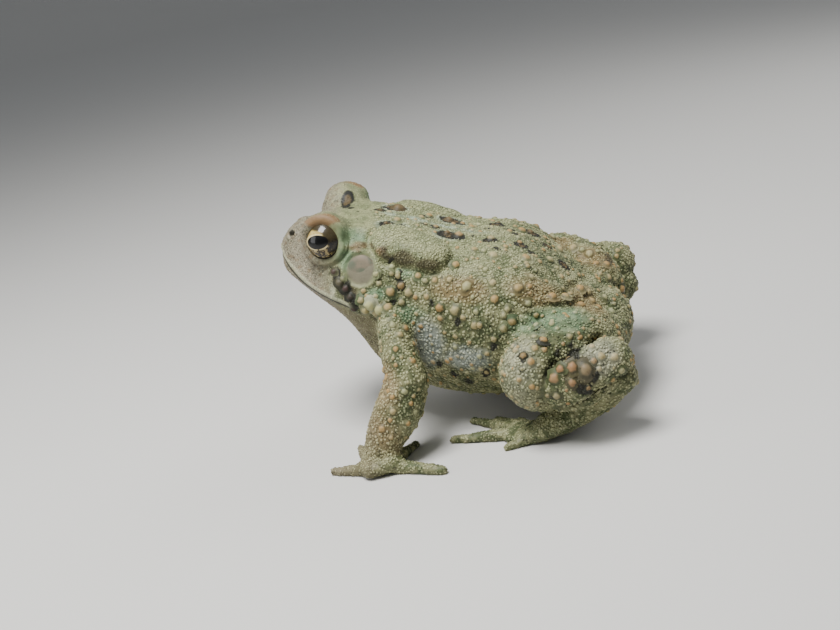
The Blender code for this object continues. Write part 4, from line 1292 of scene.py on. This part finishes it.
# Pale lip above the lip line, brown throat below it, and the dark mouth on it.
forth = mix.math("SUBTRACT", x, LIP_BACK)
curve = mix.math("MULTIPLY_ADD", mix.times(forth, forth), LIP[2],
                 mix.math("MULTIPLY_ADD", forth, LIP[1], LIP[0]))
lip = mix.math("SUBTRACT", z, curve)
in_front = mix.ramp(x, -19.0, -20.5)
pale_lip = mix.times(mix.times(mix.ramp(lip, 1.5, 0.9), mix.ramp(lip, 0.1, 0.5)), in_front)
throat = mix.times(mix.ramp(lip, -0.4, -1.6), mix.ramp(x, -14, -18))
mouth = mix.times(mix.ramp(mix.math("ABSOLUTE", lip), 0.32, 0.14), in_front)
for share, amount, shade in ((pale_lip, 0.45, CREAM), (throat, 0.6, THROAT), (mouth, 0.9, DARK)):
    colour = mix.blend(mix.times(share, amount), colour, shade)

# Upper lid, nostril and the skin round the eardrum: middle, reach and colour. The nostril's dark is
# painted shade in its hole.
for middle, reach, shade in (((-23.0, 10.0, 44.5), (3.8, 1.5, 1.3), LID_BROWN),
                             (tuple(NOSTRIL), (0.65, 1.7, 0.65), DARK),
                             (tuple(EARDRUM_CENTRE), (2.8, 2.8, 2.8), DRUM_GREY)):
    offset = mix.along("DIVIDE", mix.along("SUBTRACT", both, middle), reach)
    share = mix.ramp(mix.along("LENGTH", offset), 1.15, 0.8)
    colour = mix.blend(mix.times(share, 0.9), colour, shade)
# Foot colour: painted shade of the crevices round hills. Tip colour: pale cream, partly a painted
# highlight, weaker on dark marks.
light = mix.math("MULTIPLY_ADD", entry.outputs["Dull"], -0.38, 0.42)
for name, result in (("Color", colour), ("Foot Shade Color", mix.blend(0.62, colour, FOOT_SHADE)),
                     ("Tip Color And Highlight", mix.blend(light, colour, TIP_CREAM_AND_HIGHLIGHT))):
    mix.link(result, leave.inputs[name])
pattern = mix.tree
print("pattern nodes:", len(pattern.nodes))

# %% Skin material
GRAIN_SCALE = 2600
GRAIN_DEPTH = 0.00015


def principled(name, roughness, **sockets):
    """A new material with its shader's plain sockets set, and a mixer for its nodes."""
    material = bpy.data.materials.new(name)
    material.use_nodes = True
    shader = material.node_tree.nodes["Principled BSDF"]
    shader.inputs["Roughness"].default_value = roughness
    for socket, value in sockets.items():
        shader.inputs[socket.replace("_", " ")].default_value = value
    return material, Mixer(material.node_tree), shader


def dressed_skin(name, hill):
    """Skin, wart or granule finish: the shared pattern, painted shade at the feet of hills, and a tip
    colour on hills that is partly a painted highlight.
    """
    material, mix, shader = principled(name, 0.55, Specular_IOR_Level=0.28)
    place = mix.place()
    base, foot, tip = mix.use(pattern, Place=place, Paint=mix.kept("paint", "Color"),
                              Dull=mix.kept("dull"))
    # The skin and the warts take part of the foot colour: painted shade of the crevices between hills.
    colour = mix.blend(0.35, base, foot)
    if hill:
        height, tint = mix.kept("height"), mix.kept("tint")
    else:
        # Leg creases are darkened: painted shade in the folds.
        crease = mix.ramp(mix.kept("crease"), 0.3, 0.9)
        colour = mix.blend(mix.times(crease, 0.85), colour, DARK)
    if hill == "wart":
        # Some warts take part of the tip colour, pale cream that is partly a painted highlight.
        wart = mix.blend(mix.times(mix.ramp(tint, 0.4, 1.0), 0.6), mix.kept("wart_paint", "Color"), tip)
        colour = mix.blend(mix.times(mix.ramp(height, 0.25, 0.8), 0.9), colour, wart)
        # A darker ring round the wart's foot is painted shade.
        ring = mix.times(mix.ramp(height, -0.1, 0.15), mix.ramp(height, 0.75, 0.3))
        colour = mix.blend(mix.times(ring, 0.55), colour, foot)
    if hill == "granule":
        # A granule goes from painted shade at its foot to its own colour, and its top takes the tip
        # colour, partly a painted highlight.
        colour = mix.blend(mix.ramp(height, -0.1, 0.75), foot, base)
        light = mix.times(mix.ramp(height, 0.3, 1.0), mix.ramp(tint, 0.05, 0.7))
        colour = mix.blend(light, colour, tip)
        colour = mix.blend(mix.times(mix.ramp(tint, 0.20, 0.05), 0.55), colour, foot)
    bump = mix.add("ShaderNodeBump", [(mix.noise(place, GRAIN_SCALE), "Height")],
                   Strength=0.4, Distance=GRAIN_DEPTH)
    mix.link(colour, shader.inputs["Base Color"])
    mix.link(bump.outputs["Normal"], shader.inputs["Normal"])
    return material


skin.data.materials.clear()
granule_finish = dressed_skin("granule_finish", "granule")
for piece, finish in [(skin, dressed_skin("skin_finish", None)),
                      (warts, dressed_skin("wart_finish", "wart"))] + [
                          (piece, granule_finish) for piece in granules]:
    piece.data.materials.append(finish)
print("skin finishes ready")

# %% [markdown]
# ## Eye and eardrum finishes
# The pupil is a level oval set a little forward of the middle, with a thin pale rim. The
# iris is pale gold above it, and below it gold under a dark net of veins. Behind it, across
# its top and along its edge the iris is black. Along the edge that is its own dark colour;
# behind and at the top it is partly painted shade, at the top under the upper lid. A dark
# notch crosses the rim under the pupil.

# %% Eye and eardrum materials
IRIS_BLACK_AND_SHADE = (0.006, 0.005, 0.005)
NET_BROWN = (0.02, 0.014, 0.008)
NET_GOLD = (0.34, 0.26, 0.11)
GOLD = (0.40, 0.29, 0.09)
PALE_GOLD = (0.55, 0.46, 0.19)
RIM_GOLD = (0.60, 0.50, 0.26)
PUPIL_BLACK = (0.003, 0.003, 0.003)
NOTCH_BROWN = (0.01, 0.008, 0.006)

for side, eye, name in ((-1, eyes[0], "iris_left"), (1, eyes[1], "iris_right")):
    material, mix, shader = principled(name, 0.3, Specular_IOR_Level=0.12,
                                       Coat_Weight=0.5, Coat_Roughness=0.02)
    level = mix.use(upright_group, Place=mix.place())[0]
    centre, out, forward, up = eye_frame(side)
    offset = mix.along("SUBTRACT", level, tuple(centre))
    ahead = mix.along("DOT_PRODUCT", offset, tuple(forward / EYE_RADIUS))
    rise = mix.along("DOT_PRODUCT", offset, tuple(up / EYE_RADIUS))
    wide = mix.math("DIVIDE", mix.math("SUBTRACT", ahead, PUPIL[0]), PUPIL[2])
    tall = mix.math("DIVIDE", mix.math("SUBTRACT", rise, PUPIL[1]), PUPIL[3])
    oval = mix.length(wide, tall)
    veins = mix.ramp(mix.noise(level, 1.9, 4, 0.65), 0.47, 0.56)
    low = mix.blend(veins, NET_BROWN, NET_GOLD)
    high = mix.blend(mix.times(veins, 0.5), GOLD, PALE_GOLD)
    colour = mix.blend(mix.ramp(tall, -0.35, 0.45), low, high)
    # The black rear and top of the iris are partly its own dark colour, partly painted shade, at the
    # top under the upper lid.
    rear = mix.ramp(mix.math("ADD", ahead, mix.times(rise, -0.35)), -0.12, -0.34)
    top = mix.ramp(mix.math("ADD", tall, mix.times(wide, -0.35)), 1.45, 1.85)
    edge = mix.ramp(mix.length(ahead, rise), 0.62, 0.70)
    black_and_shade = mix.math("MAXIMUM", mix.math("MAXIMUM", rear, top), edge)
    rim = mix.times(mix.ramp(oval, 1.30, 1.20), mix.ramp(rear, 0.8, 0.3))
    notch = mix.times(mix.ramp(mix.math("ABSOLUTE", wide), 0.12, 0.06), mix.ramp(tall, -0.7, -1.0))
    for share, amount, shade in ((black_and_shade, 0.93, IRIS_BLACK_AND_SHADE), (rim, 0.9, RIM_GOLD),
                                 (mix.ramp(oval, 1.12, 1.04), 1.0, PUPIL_BLACK),
                                 (notch, 0.9, NOTCH_BROWN)):
        colour = mix.blend(mix.times(share, amount), colour, shade)
    mix.link(colour, shader.inputs["Base Color"])
    eye.data.materials.append(material)
drum_finish, mix, shader = principled("eardrum_finish", 0.60, Specular_IOR_Level=0.28)
mottle = mix.ramp(mix.noise(mix.place(), 500), 0.35, 0.65)
mix.link(mix.blend(mottle, (0.085, 0.095, 0.062), (0.165, 0.130, 0.088)),
         shader.inputs["Base Color"])
for drum in drums:
    drum.data.materials.append(drum_finish)
print("eyes and eardrums finished")

# %% [markdown]
# ## Tie the pieces to the frame
# Every piece rides on the one body of the row. The skin stands for all flesh nodes.

# %% Ride and replace
FLESH = [name for name in frame["nodes"] if not name.startswith(("eye_", "eardrum_"))]
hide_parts(*FLESH)
for piece in [skin, warts] + granules:
    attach(piece, "root")
for word, eye, drum in (("left", eyes[0], drums[0]), ("right", eyes[1], drums[1])):
    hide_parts(f"eye_{word}")
    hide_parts(f"eardrum_{word}")
    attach(eye, "root")
    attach(drum, "root")

# %% [markdown]
# ## Floor, light and camera
# A plain pale floor curves up to a wall far behind, so no edge shows in any view. Three
# large soft lights show the form evenly, as in a museum case.

# %% Stage
FLOOR_REACH = 1500
BEND = 900
BOWL_SIDES = 96

turn = np.linspace(0, 1.5, 14)[1:]
reach = np.concatenate([np.linspace(0, FLOOR_REACH, 16), FLOOR_REACH + BEND * np.sin(turn)])
lift = np.concatenate([np.zeros(16), BEND - BEND * np.cos(turn)])
angle = np.linspace(0, 2 * np.pi, BOWL_SIDES + 1)[:-1]
bowl = np.stack([np.outer(reach, np.cos(angle)), np.outer(reach, np.sin(angle)),
                 np.outer(lift, 0 * angle + 1)], -1)[1:]
quads = ring_quads(len(bowl), BOWL_SIDES)[..., [0, 3, 2, 1]].reshape(-1, 4)
floor = new_mesh("floor", bowl.reshape(-1, 3) - SHIFT, quads.tolist() + [list(range(BOWL_SIDES))])
floor.data.shade_smooth()
floor.data.materials.append(principled("floor_finish", 0.85, Base_Color=(0.56, 0.55, 0.52, 1.0))[0])
world = bpy.data.worlds.new("studio")
world.use_nodes = True
world.node_tree.nodes["Background"].inputs["Color"].default_value = (0.80, 0.84, 0.90, 1.0)
world.node_tree.nodes["Background"].inputs["Strength"].default_value = 0.34
bpy.context.scene.world = world


def soft_light(name, place, size, power):
    """A square area light in millimetres, turned to the toad's middle."""
    data = bpy.data.lights.new(name, "AREA")
    data.size = size * MM
    data.energy = power
    thing = bpy.data.objects.new(name, data)
    bpy.context.scene.collection.objects.link(thing)
    thing.location = np.array(place) * MM
    way = thing.location.copy()
    way.z -= 20 * MM
    thing.rotation_euler = way.to_track_quat("Z", "Y").to_euler()


soft_light("overhead", (-60, -100, 340), 150, 2.6)
soft_light("front", (-330, -160, 130), 200, 0.4)
soft_light("behind", (220, 260, 260), 240, 0.5)

# %% [markdown]
# ## Camera
# It looks along the toad's left side from in front and above, and is rolled as in the photo.

# %% Camera
CAMERA = dict(azimuth=14.4, elevation=18.6, roll=-11.0, distance=233.6, target=(-10.8, 0, 20.0))


def camera_ways(azimuth, elevation, roll, **_):
    """Back, right and up of a camera that circles the target and is rolled about its view."""
    turn, rise, tip = np.radians((azimuth, elevation, roll))
    back = np.array([np.sin(turn) * np.cos(rise), -np.cos(turn) * np.cos(rise), np.sin(rise)])
    level = np.array([np.cos(turn), np.sin(turn), 0])
    up = np.cross(back, level)
    right = np.cos(tip) * level + np.sin(tip) * up
    return back, right, -np.sin(tip) * level + np.cos(tip) * up


back, right, up = camera_ways(**CAMERA)
lens = bpy.data.cameras.new("camera")
lens.lens = 50
lens.sensor_width = 36
lens.clip_start = 0.01
camera = bpy.data.objects.new("camera", lens)
bpy.context.scene.collection.objects.link(camera)
matrix = np.eye(4)
matrix[:3, :3] = np.stack([right, up, back], -1)
matrix[:3, 3] = (np.array(CAMERA["target"]) + SHIFT + back * CAMERA["distance"]) * MM
camera.matrix_world = Matrix(matrix.tolist())
bpy.context.scene.camera = camera
print("camera at", matrix[:3, 3].round(3))
